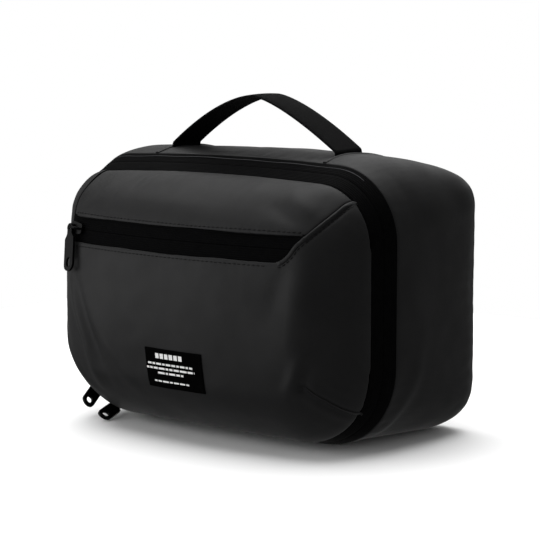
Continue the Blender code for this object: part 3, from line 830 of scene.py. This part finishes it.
def lower_panel():
    """The panel below the pocket zip, which runs up both sides to the short seams."""
    left_top, right_top = on_rim(SEAM_LEFT[-1]), on_rim(SEAM_RIGHT[-1])
    line, bend = welt_line()
    seam_left = [along_path(SEAM_LEFT[:-1] + [left_top], 1 - i / 8) for i in range(9)]
    seam_right = [along_path(SEAM_RIGHT[:-1] + [right_top], i / 10) for i in range(11)]
    curve = [along_path(bend, i / 16) for i in range(17)]
    seam_left = [(x - 0.8 * MM, z) for x, z in seam_left]
    seam_right = [(x + 0.8 * MM, z - 0.5 * MM) for x, z in seam_right]
    near = even(seam_left + line[1:], 50)[:-1]
    near += even([line[1], bend[0]], 100)
    near += even(curve + seam_right[1:], 70)[1:]
    outer = rim_between(left_top, right_top)
    far = even(outer, len(near) - 1)
    rows = patch_rows(near, far, 60)
    item = grid("front_lower_panel_skin", rolled(rows), SHELL, flip=True, flat_uv=True)
    relief(item, lower_relief)
    thicken(item, CLOTH)
    soften(item)
    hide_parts("front_lower_panel")
    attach(item, "front_half")


upper_panel()
lower_panel()

# ---- rear half ----------------------------------------------------------------------------


def gusset_relief(point):
    """Ripples, gathers along both seams, the top seams' grooves and a dent low on the right."""
    x, y, z = point
    height = ripple(point, 36 * MM, 1.0 * MM, 11.0) + ripple(point, 14 * MM, 0.3 * MM, 2.0)
    near_band = max(0.0, y - BAND_HALF)
    near_back = max(0.0, 91 * MM - y)
    around = z if abs(x) > 95 * MM else x
    height += pucker(point, around, near_band, 8 * MM, 9 * MM, 0.2 * MM)
    height += pucker(point, around, near_back, 9 * MM, 10 * MM, 0.5 * MM)
    if z > HEIGHT * 0.8:
        gap = abs(x) - HANDLE_SPAN - 0.6 * MM
        height -= 0.5 * MM * hill(gap, 1.1 * MM)
        height += 0.45 * MM * hill(gap - 2.6 * MM, 1.6 * MM)
    if x > 90 * MM and z < 70 * MM:
        height += 1.1 * MM * hill(y - 0.25 * z - 16 * MM, 5 * MM) * hill(z - 30 * MM, 26 * MM)
    flat = min(1.0, max(0.0, z - 1.0 * MM) / (9 * MM))
    edge = min(1.0, min(near_band, near_back) / (4 * MM))
    return height * flat * (0.3 + 0.7 * edge)


def rear_gusset():
    start, end = REAR_PROFILE[0][0], REAR_PROFILE[-1][0]
    rows = [rear_ring(start, 1.3 * MM)]
    rows += [rear_ring(start + (end - start) * i / 30) for i in range(31)]
    lip = [Vector((p.x * 0.992, p.y + 0.5 * MM, HEIGHT / 2 + (p.z - HEIGHT / 2) * 0.99)) for p in rows[-1]]
    rows.append(lip)
    item = grid("rear_gusset_skin", [fine(row) for row in rows], SHELL, closed=True, flip=True)
    relief(item, gusset_relief)
    thicken(item, CLOTH)
    soften(item)
    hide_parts("rear_gusset")
    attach(item, "rear_half")


def ring_of(values, y, tighter):
    return [Vector((x, y, z)) for x, z in outline(*values, tighter)]


def shrunk(ring, share, surface):
    """A ring drawn towards the middle and laid on a surface."""
    middle = HEIGHT * 0.5
    points = []
    for point in ring:
        x, z = point.x * share, middle + (point.z - middle) * share
        points.append(Vector((x, surface(x, z), z)))
    return points


def back_y(x, z):
    away = (x / HALF_WIDTH) ** 2 + ((z - HEIGHT / 2) / (HEIGHT / 2)) ** 2
    return REAR_DEPTH - 1.5 * MM * away


def rear_panel():
    tighter = 19.5 * MM
    profile = (
        ((4.0 * MM, 11.0 * MM, 4.9 * MM), 91.6 * MM),
        ((3.0 * MM, 10.0 * MM, 3.9 * MM), 92.1 * MM),
        ((3.0 * MM, 10.0 * MM, 3.9 * MM), 93.0 * MM),
        ((3.8 * MM, 10.8 * MM, 4.7 * MM), 94.4 * MM),
        ((5.6 * MM, 12.6 * MM, 6.6 * MM), 95.5 * MM),
        ((8.6 * MM, 15.6 * MM, 9.6 * MM), 96.0 * MM),
    )
    rows = [ring_of(values, y, tighter) for values, y in profile]
    rim = rows[-1]
    shares = [0.97, 0.93, 0.88, 0.82, 0.75, 0.68, 0.6, 0.52, 0.44, 0.36, 0.28, 0.2, 0.12, 0.05]
    rows += [shrunk(rim, share, back_y) for share in shares]
    middle = Vector((0.0, back_y(0.0, HEIGHT / 2), HEIGHT / 2))
    rows = [fine(row, 260) for row in rows]
    item = grid("rear_panel_skin", rows, SHELL, closed=True, flip=True, flat_uv=True, middle=middle)

    def back_relief(point):
        height = ripple(point, 40 * MM, 1.1 * MM, 21.0) + ripple(point, 16 * MM, 0.3 * MM, 4.0)
        inside = room_inside(point.x, point.z, 3 * MM, 10 * MM, 4 * MM)
        height += pucker(point, point.x + point.z, max(inside, 0.0), 8 * MM, 10 * MM, 0.3 * MM)
        return height * min(1.0, max(0.2, inside / (9 * MM))) - 0.4 * MM

    relief(item, back_relief)
    thicken(item, CLOTH)
    soften(item)
    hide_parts("rear_panel")
    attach(item, "rear_half")


rear_gusset()
rear_panel()

# ---- linings ------------------------------------------------------------------------------


def slack(seed):
    """A lining's loose ripples, as a relief."""
    def height_at(point):
        return ripple(point, 22 * MM, 0.7 * MM, seed) + ripple(point, 9 * MM, 0.25 * MM, seed + 2)
    return height_at


def rear_lining():
    inside = 2.7 * MM
    rows = [rear_ring(5.4 * MM, 1.8 * MM), rear_ring(8.5 * MM, 2.1 * MM)]
    rows += [rear_ring(11.5 * MM + (87.5 - 11.5) * MM * i / 20, inside) for i in range(21)]
    rows.append(ring_of((6.5 * MM, 13.5 * MM, 6.5 * MM), 90.5 * MM, 19 * MM))
    rows.append(ring_of((10 * MM, 17 * MM, 10 * MM), 92.0 * MM, 18 * MM))
    rim = rows[-1]
    floor_y = 92.2 * MM
    shares = (0.92, 0.8, 0.66, 0.5, 0.34, 0.18, 0.06)
    rows += [shrunk(rim, share, lambda x, z: floor_y) for share in shares]
    middle = Vector((0.0, floor_y, HEIGHT / 2))
    item = grid("rear_lining_skin", rows, LINING_LOOK, closed=True, middle=middle)
    relief(item, slack(31.0))
    thicken(item, LINING)
    soften(item)
    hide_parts("rear_lining")
    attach(item, "rear_half")


def front_lining():
    inside = 2.7 * MM
    depth = 9.6 * MM
    rows = []
    edge = [value + 1.9 * MM for value in BAND_INSET]
    for y, more in ((-5.4 * MM, -1.6 * MM), (-8.2 * MM, -0.2 * MM)):
        rows.append([Vector((x, y, z)) for x, z in outline(*[value + more for value in edge])])
    rim = -(BAND_HALF + 2 * MM)
    for i in range(15):
        share = (i / 14) ** 1.6
        values = [value + inside for value in rim_insets(share)]
        row = []
        for x, z in outline(*values):
            row.append(Vector((x, rim + (face_y(x, z) + depth - rim) * round_out(share), z)))
        rows.append(row)
    rim_row = rows[-1]
    for share in (0.9, 0.78, 0.64, 0.5, 0.36, 0.22, 0.08):
        rows.append(shrunk(rim_row, share, lambda x, z: face_y(x, z) + depth))
    middle = Vector((0.0, face_y(0.0, HEIGHT / 2) + depth, HEIGHT / 2))
    item = grid("front_lining_skin", rows, LINING_LOOK, closed=True, flip=True, middle=middle)
    relief(item, slack(41.0))
    thicken(item, LINING)
    soften(item)
    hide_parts("front_lining")
    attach(item, "front_half")


def pocket_back():
    rows = []
    for i in range(25):
        z = (28 + 104 * i / 24) * MM
        rows.append([Vector((x * MM, face_y(x * MM, z) + 8.3 * MM, z)) for x in range(-82, 83, 4)])
    item = grid("pocket_back_cloth", rows, LINING_LOOK, flat_uv=True)

    def quiet(point):
        return ripple(point, 24 * MM, 0.35 * MM, 51.0)

    relief(item, quiet)
    thicken(item, LINING)
    soften(item)
    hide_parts("pocket_back")
    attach(item, "front_half")


rear_lining()
front_lining()
pocket_back()

# ---- main zip -----------------------------------------------------------------------------


def band_ring(across):
    share = (1.0 - across) / 2.0
    return outline(*(value * share for value in BAND_INSET))


def band_point(along, across):
    """A point of the zip band: along counts outline points, across is -1 front to +1 rear."""
    ring = band_ring(across)
    low = int(along)
    t = along - low
    a, b = ring[low % len(ring)], ring[(low + 1) % len(ring)]
    return Vector((a[0] + (b[0] - a[0]) * t, BAND_HALF * across, a[1] + (b[1] - a[1]) * t))


def band_inward(along, across):
    tangent = band_point(along + 0.4, across) - band_point(along - 0.4, across)
    width = band_point(along, min(across + 0.2, 1.0)) - band_point(along, max(across - 0.2, -1.0))
    return tangent.cross(width).normalized()


RING = outline(0.0, 0.0, 0.0)
BASE_POINTS = [i for i, (x, z) in enumerate(RING) if z < 1 * MM and abs(x) < HINGE_HALF + 0.5 * MM]
ZIP_START = max(i for i in BASE_POINTS if i < len(RING) / 2) + 0.6
ZIP_END = min(i for i in BASE_POINTS if i > len(RING) / 2) - 0.6
LEFT_CORNER_START = len(RING) - 5 - 1 - CORNER_STEPS


def corner_station(angle):
    return LEFT_CORNER_START + (angle - 180.0) / 90.0 * CORNER_STEPS


def stations(start, end, step=0.5):
    count = max(2, round((end - start) / step))
    return [start + (end - start) * i / count for i in range(count + 1)]


def tape(name, along, edges, side, body, node):
    """One tape of the main zip; edges(along) gives its two edges across the band."""
    columns, depth = 9, 0.25 * MM
    rows = []
    for c in range(columns):
        row = []
        for place in along:
            near, far = edges(place)
            edge = near + (far - near) * c / (columns - 1)
            across = side * edge / BAND_HALF
            crown = 0.35 * MM * (c / (columns - 1) - 0.5) ** 2 * 4
            row.append(band_point(place, across) + band_inward(place, across) * (depth + crown * 0.4))
        rows.append(row)
    item = grid(name, rows, TAPE_LOOK, flip=side > 0)
    thicken(item, TAPE)
    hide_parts(node)
    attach(item, body)


def coil_piece(name, rings):
    bm = bmesh.new()
    tube(bm, rings)
    bmesh.ops.recalc_face_normals(bm, faces=bm.faces)
    return piece(name, bm, COIL_LOOK)


def coil(name, start, end, side, body, node):
    """A nylon coil: one loop of wire for each tooth, sewn along the tape's inner edge."""
    pitch = 1.55 * MM
    places = stations(start, end, 0.25)
    reach = lengths_along([band_point(place, 0.0) for place in places])
    turns = int(reach[-1] / pitch)
    wire, sides, steps = 0.36 * MM, 5, 8
    offset = 0.0 if side > 0 else pitch / 2
    centres, inwards = [], []
    k = 0
    for i in range(turns * steps + 1):
        want = min(offset + pitch * i / steps, reach[-1] - 0.01 * MM)
        while k < len(reach) - 2 and reach[k + 1] < want:
            k += 1
        place = places[k] + (places[k + 1] - places[k]) * (want - reach[k]) / (reach[k + 1] - reach[k])
        turn = 2 * pi * (i % steps) / steps
        edge = (1.75 - 1.25 * cos(turn)) * MM
        across = side * edge / BAND_HALF
        inward = band_inward(place, across)
        centres.append(band_point(place, across) + inward * ((1.95 + 0.42 * sin(turn)) * MM))
        inwards.append(inward)
    rings = []
    for i, (centre, inward) in enumerate(zip(centres, inwards)):
        ahead = heading(centres, i)
        ahead = ahead.normalized() if ahead.length else Vector((1, 0, 0))
        up = ahead.cross(inward).normalized()
        other = ahead.cross(up).normalized()
        rings.append(round_about(centre, up, other, wire, sides))
    item = coil_piece(name, rings)
    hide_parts(node)
    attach(item, body)


def main_zip():
    zone = [corner_station(angle) for angle in PARKED_ZONE]
    split, edge = 0.04 * MM, BAND_HALF + 0.4 * MM
    whole = stations(ZIP_START, ZIP_END)

    def rear_edges(place):
        parked = zone[0] <= place <= zone[1]
        return (4.85 * MM if parked else split), edge

    tape("front_zip_tape_cloth", whole, lambda a: (split, edge), -1, "front_half", "front_zip_tape")
    notch = [zone[0] - 0.02, zone[0], zone[1], zone[1] + 0.02]
    rear = sorted(set(whole + notch))
    tape("rear_zip_tape_cloth", rear, rear_edges, 1, "rear_half", "rear_zip_tape")
    held = stations(zone[0] + 0.03, zone[1] - 0.03)
    tape("zip_end_tape_cloth", held, lambda a: (split, 4.78 * MM), 1, "front_half", "zip_end_tape")
    coil("front_zip_coil_wire", ZIP_START, ZIP_END, -1, "front_half", "front_zip_coil")
    coil("rear_zip_coil_wire", ZIP_START, zone[0] - 0.2, 1, "rear_half", "rear_zip_coil")
    coil("rear_zip_coil_end_wire", zone[1] + 0.2, ZIP_END, 1, "rear_half", "rear_zip_coil_end")
    coil("zip_end_coil_wire", zone[0] + 0.05, zone[1] - 0.05, 1, "front_half", "zip_end_coil")


def hinge_cloth():
    """The cloth hinge under the base, drawn as a flat strip that stays in place as the front half opens.
    """
    rows = []
    for i in range(13):
        y = (-BAND_HALF - 0.3 * MM) + (2 * BAND_HALF + 0.6 * MM) * i / 12
        low = BAND_INSET[2] * (1.0 - y / BAND_HALF) / 2.0
        low = max(low, 0.0) + 0.3 * MM
        reach = HINGE_HALF + 0.4 * MM
        rows.append([Vector((reach * (j / 20 - 1), y, low)) for j in range(41)])
    item = grid("hinge_cloth", rows, TAPE_LOOK, flip=True)
    thicken(item, 0.7 * MM)
    bpy.context.view_layer.update()
    applied = bpy.data.meshes.new_from_object(item.evaluated_get(bpy.context.evaluated_depsgraph_get()))
    item.modifiers.clear()
    item.data = applied
    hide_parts("hinge_strip")
    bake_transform(item)


main_zip()
hinge_cloth()

# ---- pocket zip and label -----------------------------------------------------------------


def face_sheet(name, xs, zs, depth, right_end):
    """A flat sheet behind the face, whose right end is slanted."""
    rows = []
    for z in zs:
        share = (right_end(z) - xs[0]) / (xs[-1] - xs[0])
        slanted = [xs[0] + (x - xs[0]) * share for x in xs]
        rows.append([Vector((x, face_y(x, z) + depth, z)) for x in slanted])
    return grid(name, rows, TAPE_LOOK)


def evenly(start, end, count):
    return [start + (end - start) * i / count for i in range(count + 1)]


def pocket_coil(name, side, node):
    """One coil of the pocket zip, wound like the main zip's but straight."""
    pitch, steps, sides, wire = 1.3 * MM, 8, 5, 0.3 * MM
    start, end = POCKET_LEFT + 1 * MM, POCKET_RIGHT - 2 * MM
    turns = int((end - start) / pitch)
    centres = []
    for i in range(turns * steps + 1):
        x = start + (0 if side > 0 else pitch / 2) + pitch * i / steps
        turn = 2 * pi * (i % steps) / steps
        z = POCKET_Z + side * (1.6 - 1.15 * cos(turn)) * MM
        centres.append(Vector((x, face_y(x, z) + (2.5 + 0.35 * sin(turn)) * MM, z)))
    rings = []
    for i, centre in enumerate(centres):
        ahead = heading(centres, i).normalized()
        up = ahead.cross(Vector((0, 1, 0))).normalized()
        rings.append(round_about(centre, up, ahead.cross(up), wire, sides))
    item = coil_piece(name, rings)
    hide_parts(node)
    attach(item, "front_half")


def pocket_zip():
    def right_end(z):
        share = (z - (POCKET_Z - POCKET_HALF)) / (2 * POCKET_HALF)
        return POCKET_RIGHT - 1 * MM + 11 * MM * share

    xs = evenly(POCKET_LEFT - 0.6 * MM, POCKET_RIGHT, 80)
    split, edge = 0.04 * MM, POCKET_HALF + 1.2 * MM
    for side, name in ((1, "upper"), (-1, "lower")):
        edges = sorted((POCKET_Z + side * split, POCKET_Z + side * edge))
        item = face_sheet("pocket_tape_%s_cloth" % name, xs, evenly(*edges, 10), 1.25 * MM, right_end)
        thicken(item, 0.7 * MM)
        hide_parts("pocket_tape_" + name)
        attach(item, "front_half")
        pocket_coil("pocket_coil_%s_wire" % name, side, "pocket_coil_" + name)


def stitches(name, path, height_at, length=2.1 * MM, gap=1.0 * MM, lift=0.32 * MM, radius=0.26 * MM):
    """A row of lockstitches along a line of the front face, each a short thread lying on it."""
    points = [skin_point(x, z, height_at, 0.0) for x, z in even(path, 400)]
    reach = lengths_along(points)

    def at(want):
        k = 0
        while k < len(reach) - 2 and reach[k + 1] < want:
            k += 1
        return points[k].lerp(points[k + 1], (want - reach[k]) / (reach[k + 1] - reach[k]))

    bm = bmesh.new()
    place = 0.5 * MM
    sides, steps = 6, 6
    while place + length < reach[-1]:
        rings = []
        for i in range(steps + 1):
            t = i / steps
            spot = place + length * t
            centre = at(spot)
            outward = Vector((centre.x * 0.25, -1.0, 0.0)).normalized()
            centre = centre + outward * (lift + 0.16 * MM * sin(pi * t) - 0.1 * MM)
            ahead = at(min(spot + 0.2 * MM, reach[-1])) - at(max(spot - 0.2 * MM, 0.0))
            up = ahead.normalized().cross(outward).normalized()
            girth = radius * sin(pi * (0.12 + 0.76 * t)) ** 0.5
            rings.append(round_about(centre, up, outward, girth, sides))
        tube(bm, rings)
        place += length + gap
    bmesh.ops.recalc_face_normals(bm, faces=bm.faces)
    item = piece(name, bm, THREAD)
    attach(item, "front_half")


def beside(path, distance):
    """A front-view line moved sideways, to the right of its direction."""
    line = even(path, 48)
    moved = []
    for i, point in enumerate(line):
        ahead = heading(line, i).normalized()
        moved.append((point.x + ahead.y * distance, point.y - ahead.x * distance))
    return moved


def seam_fold(name, path, height_at, half_width, rise):
    """A folded seam lying on the front's skin, rounded across its width."""
    line = even(path, 90)
    rows = []
    for i, point in enumerate(line):
        ahead = heading(line, i).normalized()
        row = []
        for k in range(9):
            angle = pi * k / 8
            offset = -half_width * cos(angle)
            x, z = point.x + ahead.y * offset, point.y - ahead.x * offset
            taper = min(1.0, i / 5, (90 - i) / 5)
            lift = (rise * sin(angle) ** 0.8 + 0.3 * MM) * taper - 0.3 * MM
            row.append(skin_point(x, z, height_at, lift))
        rows.append(row)
    normal = (rows[45][5] - rows[45][4]).cross(rows[46][4] - rows[45][4])
    item = grid(name, rows, SHELL, flip=normal.y > 0, flat_uv=True)
    thicken(item, 0.5 * MM)
    soften(item)
    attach(item, "front_half")


def pocket_stitching():
    """The stitches round the pocket zip, with the folded seam and the dart at its right; the dart's dark
    line is a thread laid almost without gaps as painted shade.
    """
    stitch_in = 2.3 * MM
    above = POCKET_Z + POCKET_HALF + stitch_in
    below = POCKET_Z - POCKET_HALF - stitch_in
    left_end, right_end = POCKET_LEFT + 1 * MM, SEAM_RIGHT[0][0] - 1 * MM
    stitches("stitches_upper", [(left_end, above), (right_end, above)], upper_relief)
    bend = welt_line()[1]
    curve = [along_path(bend, i / 16) for i in range(17)]
    stitches("stitches_lower", [(left_end, below), (curve[0][0], below)], lower_relief)
    seam = [along_path(SEAM_RIGHT, i / 10) for i in range(11)]
    welt = curve[3:] + seam[1:]
    seam_fold("welt_fold", beside(welt, 1.3 * MM), lower_relief, 1.25 * MM, 0.75 * MM)
    stitches("stitches_seam", beside(welt, 3.3 * MM), lower_relief)
    seam_fold("dart_fold", beside(DART, -1.0 * MM), lower_relief, 0.95 * MM, 0.55 * MM)
    # A dark thread with almost no gaps along the dart: painted shade for the shadow in the seam's crevice.
    stitches("dart_thread", beside(DART, 0.15 * MM), lower_relief, 2.6 * MM, 0.1 * MM, 0.3 * MM, 0.3 * MM)


def label():
    """The sewn label, with pale bars in place of its print."""
    low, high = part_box("label")
    xs = evenly(low.x, high.x, 42)
    zs = evenly(low.z, high.z, 24)
    rows = [[skin_point(x, z, lower_relief, 0.55 * MM) for x in xs] for z in zs]
    item = grid("label_cloth", rows, LABEL_LOOK)
    thicken(item, 0.45 * MM)
    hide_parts("label")
    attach(item, "front_half")
    width, tall = high.x - low.x, high.z - low.z
    centre = (low.x + high.x) / 2 - 0.06 * width
    # Each line's height and thickness as shares of the label's height, and its share of the width.
    lines = (
        (0.82, 0.13, 0.50),
        (0.615, 0.05, 0.80),
        (0.50, 0.05, 0.86),
        (0.385, 0.05, 0.46),
        (0.17, 0.04, 0.62),
    )
    bm = bmesh.new()
    for row, (height, thick, share) in enumerate(lines):
        is_title = row == 0
        z = low.z + tall * height
        half_line = width * share / 2
        x = centre - half_line
        end = centre + half_line
        while x < end - 0.4 * MM:
            long = (2.6 if is_title else random.uniform(1.6, 5.2)) * MM
            long = min(long, end - x)
            mark(bm, x, x + long, z, tall * thick / 2)
            x += long + (0.9 if is_title else 0.8) * MM
    item = piece("label_marks", bm, PRINT)
    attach(item, "front_half")


def mark(bm, left, right, z, half):
    """A pale bar printed on the label: a generic stand-in for a line of print."""
    columns = max(1, round((right - left) / (1 * MM)))
    rows = []
    for level in (z - half, z + half):
        spots = [skin_point(x, level, lower_relief, 0.62 * MM) for x in evenly(left, right, columns)]
        rows.append([bm.verts.new(spot) for spot in spots])
    for j in range(columns):
        bm.faces.new((rows[0][j], rows[0][j + 1], rows[1][j + 1], rows[1][j]))


pocket_zip()
pocket_stitching()
label()

# ---- handle -------------------------------------------------------------------------------


def arch_height(x):
    """The strap's height over the bag; each leg bends by its own power on its way to the peak."""
    away = x - HANDLE_PEAK
    if away < 0:
        share, bend = away / (-HANDLE_SPAN - HANDLE_PEAK), 1.65
    else:
        share, bend = away / (HANDLE_SPAN - HANDLE_PEAK), 1.42
    return HANDLE_BASE + (HANDLE_TOP - HANDLE_BASE) * (1.0 - share ** bend)


def handle():
    """The webbing strap: a flat rounded section swept along the arch, its ends sunk in the seams."""
    path = [Vector((x, HANDLE_Y, arch_height(x))) for x in evenly(-HANDLE_SPAN, HANDLE_SPAN, 200)]
    ends = [path[0] + Vector((-0.6, 0.0, -3.5)) * MM], [path[-1] + Vector((0.6, 0.0, -3.5)) * MM]
    path = even(ends[0] + path + ends[1], 110)
    half, thick = HANDLE_WIDTH / 2, HANDLE_THICK / 2
    section = []
    for side in (1, -1):
        for i in range(5):
            angle = radians(180 * i / 4 - 90 * side)
            section.append((side * (half - thick) + thick * cos(angle), thick * sin(angle)))
        section += [(side * half * t, side * thick) for t in (0.66, 0.33, 0.0, -0.33, -0.66)]
    rows = []
    for i, point in enumerate(path):
        ahead = heading(path, i).normalized()
        out = Vector((-ahead.z, 0.0, ahead.x))
        twist = 0.03 * sin(point.x / HANDLE_SPAN * 2.2)
        bow = 0.5 * MM * cos(point.x / HANDLE_SPAN * 1.5)
        row = []
        for y, z in section:
            lift = z + twist * y - bow * (y / half) ** 2
            row.append(point + Vector((0.0, y, 0.0)) + out * (lift - thick))
        rows.append(row)
    columns = [[row[j] for row in rows] for j in range(len(section))]
    item = grid("handle_webbing_cloth", columns + [columns[0]], WEBBING)
    bm = bmesh.new()
    bm.from_mesh(item.data)
    bmesh.ops.remove_doubles(bm, verts=bm.verts, dist=0.00001)
    bmesh.ops.holes_fill(bm, edges=[e for e in bm.edges if e.is_boundary])
    bmesh.ops.recalc_face_normals(bm, faces=bm.faces)
    bm.to_mesh(item.data)
    bm.free()
    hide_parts("handle_webbing", "handle_end_left", "handle_end_right")
    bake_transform(item)


def top_seams():
    """The two folded seams across the top, which catch the ends of the webbing."""
    for name, sign in (("left", -1), ("right", 1)):
        rows = []
        x = sign * (HANDLE_SPAN + 1.3 * MM)
        for i in range(81):
            y = BAND_HALF + (1.0 + i) * MM
            swell = sin(pi * (i + 0.4) / 80.8) ** 0.2
            row = []
            for k in range(9):
                angle = pi * k / 8
                across = -sign * 1.0 * MM * cos(angle)
                lift = (0.9 * MM * sin(angle) - 0.25 * MM) * swell
                row.append(Vector((x + across, y, rear_top(x + across, y) + lift)))
            rows.append(row)
        item = grid("top_seam_" + name, rows, SHELL, flip=sign > 0)
        thicken(item, 0.5 * MM)
        soften(item)
        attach(item, "rear_half")


def rear_top(x, y):
    """The height of the rear half's top at a place seen from above."""
    ring = rear_ring(y)
    near = [p for p in ring if p.z > HEIGHT * 0.7]
    near.sort(key=lambda p: abs(p.x - x))
    a, b = near[0], near[1]
    t = 0.0 if a.x == b.x else (x - a.x) / (b.x - a.x)
    return a.z + (b.z - a.z) * t


handle()
top_seams()

# ---- sliders and pulls --------------------------------------------------------------------


def paint_metal(node):
    """Keeps the CAD shape, rounds its edges and paints it."""
    item = frame["nodes"][node]
    item.data.materials.clear()
    item.data.materials.append(PAINT)
    weld = item.modifiers.new("weld", "WELD")
    weld.merge_threshold = 0.00001
    edge = item.modifiers.new("edge", "BEVEL")
    edge.width = 0.28 * MM
    edge.segments = 3
    edge.limit_method = "ANGLE"
    edge.angle_limit = radians(40)
    edge.harden_normals = False
    for face in item.data.polygons:
        face.use_smooth = True
    normals = item.modifiers.new("normals", "WEIGHTED_NORMAL")
    normals.keep_sharp = True


METAL_NODES = (
    "pocket_slider",
    "pocket_pull",
    "main_slider_upper",
    "main_pull_upper",
    "main_slider_lower",
    "main_pull_lower",
)
for metal_node in METAL_NODES:
    paint_metal(metal_node)

# ---- floor, lights and camera -------------------------------------------------------------


def floor():
    bm = bmesh.new()
    bmesh.ops.create_grid(bm, x_segments=2, y_segments=2, size=0.45)
    item = piece("floor", bm, floor_paper())
    item.location = (0.0, 0.0, 0.0)
    item.visible_glossy = False


def soft_sun(name, away, strength, spread_angle):
    """A far, wide light; away is the direction from the bag to it."""
    lamp = bpy.data.lights.new(name, "SUN")
    lamp.energy = strength
    lamp.angle = radians(spread_angle)
    item = bpy.data.objects.new(name, lamp)
    bpy.context.scene.collection.objects.link(item)
    item.rotation_mode = "QUATERNION"
    item.rotation_quaternion = Vector(away).to_track_quat("Z", "Y")


def studio():
    """A white room that lights the bag weakly, a wide light from the upper left and one overhead."""
    world = bpy.data.worlds.new("studio")
    bpy.context.scene.world = world
    world.use_nodes = True
    tree = world.node_tree
    fill = tree.nodes["Background"]
    fill.inputs["Color"].default_value = (1.0, 1.0, 1.0, 1.0)
    fill.inputs["Strength"].default_value = 0.31
    backdrop = tree.nodes.new("ShaderNodeBackground")
    backdrop.inputs["Color"].default_value = (1.0, 1.0, 1.0, 1.0)
    mix = tree.nodes.new("ShaderNodeMixShader")
    seen = tree.nodes.new("ShaderNodeLightPath")
    tree.links.new(seen.outputs["Is Camera Ray"], mix.inputs[0])
    tree.links.new(fill.outputs[0], mix.inputs[1])
    tree.links.new(backdrop.outputs[0], mix.inputs[2])
    tree.links.new(mix.outputs[0], tree.nodes["World Output"].inputs["Surface"])
    soft_sun("key", (-0.64, -0.77, 0.08), 2.8, 64)
    soft_sun("overhead", (-0.24, 0.12, 1.0), 3.5, 70)
    soft_sun("back", (-0.3, 0.9, 0.6), 0.5, 50)
    bpy.context.scene.view_settings.view_transform = "Standard"


def camera():
    """Three-quarter view from the front right, just above the bag's top edge."""
    azimuth, elevation = radians(38.5), radians(7.7)
    target, distance = Vector((31.8 * MM, ZIP_Y, 99.9 * MM)), 1.0954
    back = Vector((sin(azimuth) * cos(elevation), -cos(azimuth) * cos(elevation), sin(elevation)))
    lens = bpy.data.cameras.new("camera")
    lens.sensor_width = 36.0
    lens.lens = 126.1
    lens.clip_start, lens.clip_end = 0.05, 50.0
    item = bpy.data.objects.new("camera", lens)
    bpy.context.scene.collection.objects.link(item)
    item.location = target + back * distance
    item.rotation_mode = "QUATERNION"
    item.rotation_quaternion = (-back).to_track_quat("-Z", "Y")
    bpy.context.scene.camera = item


floor()
studio()
camera()
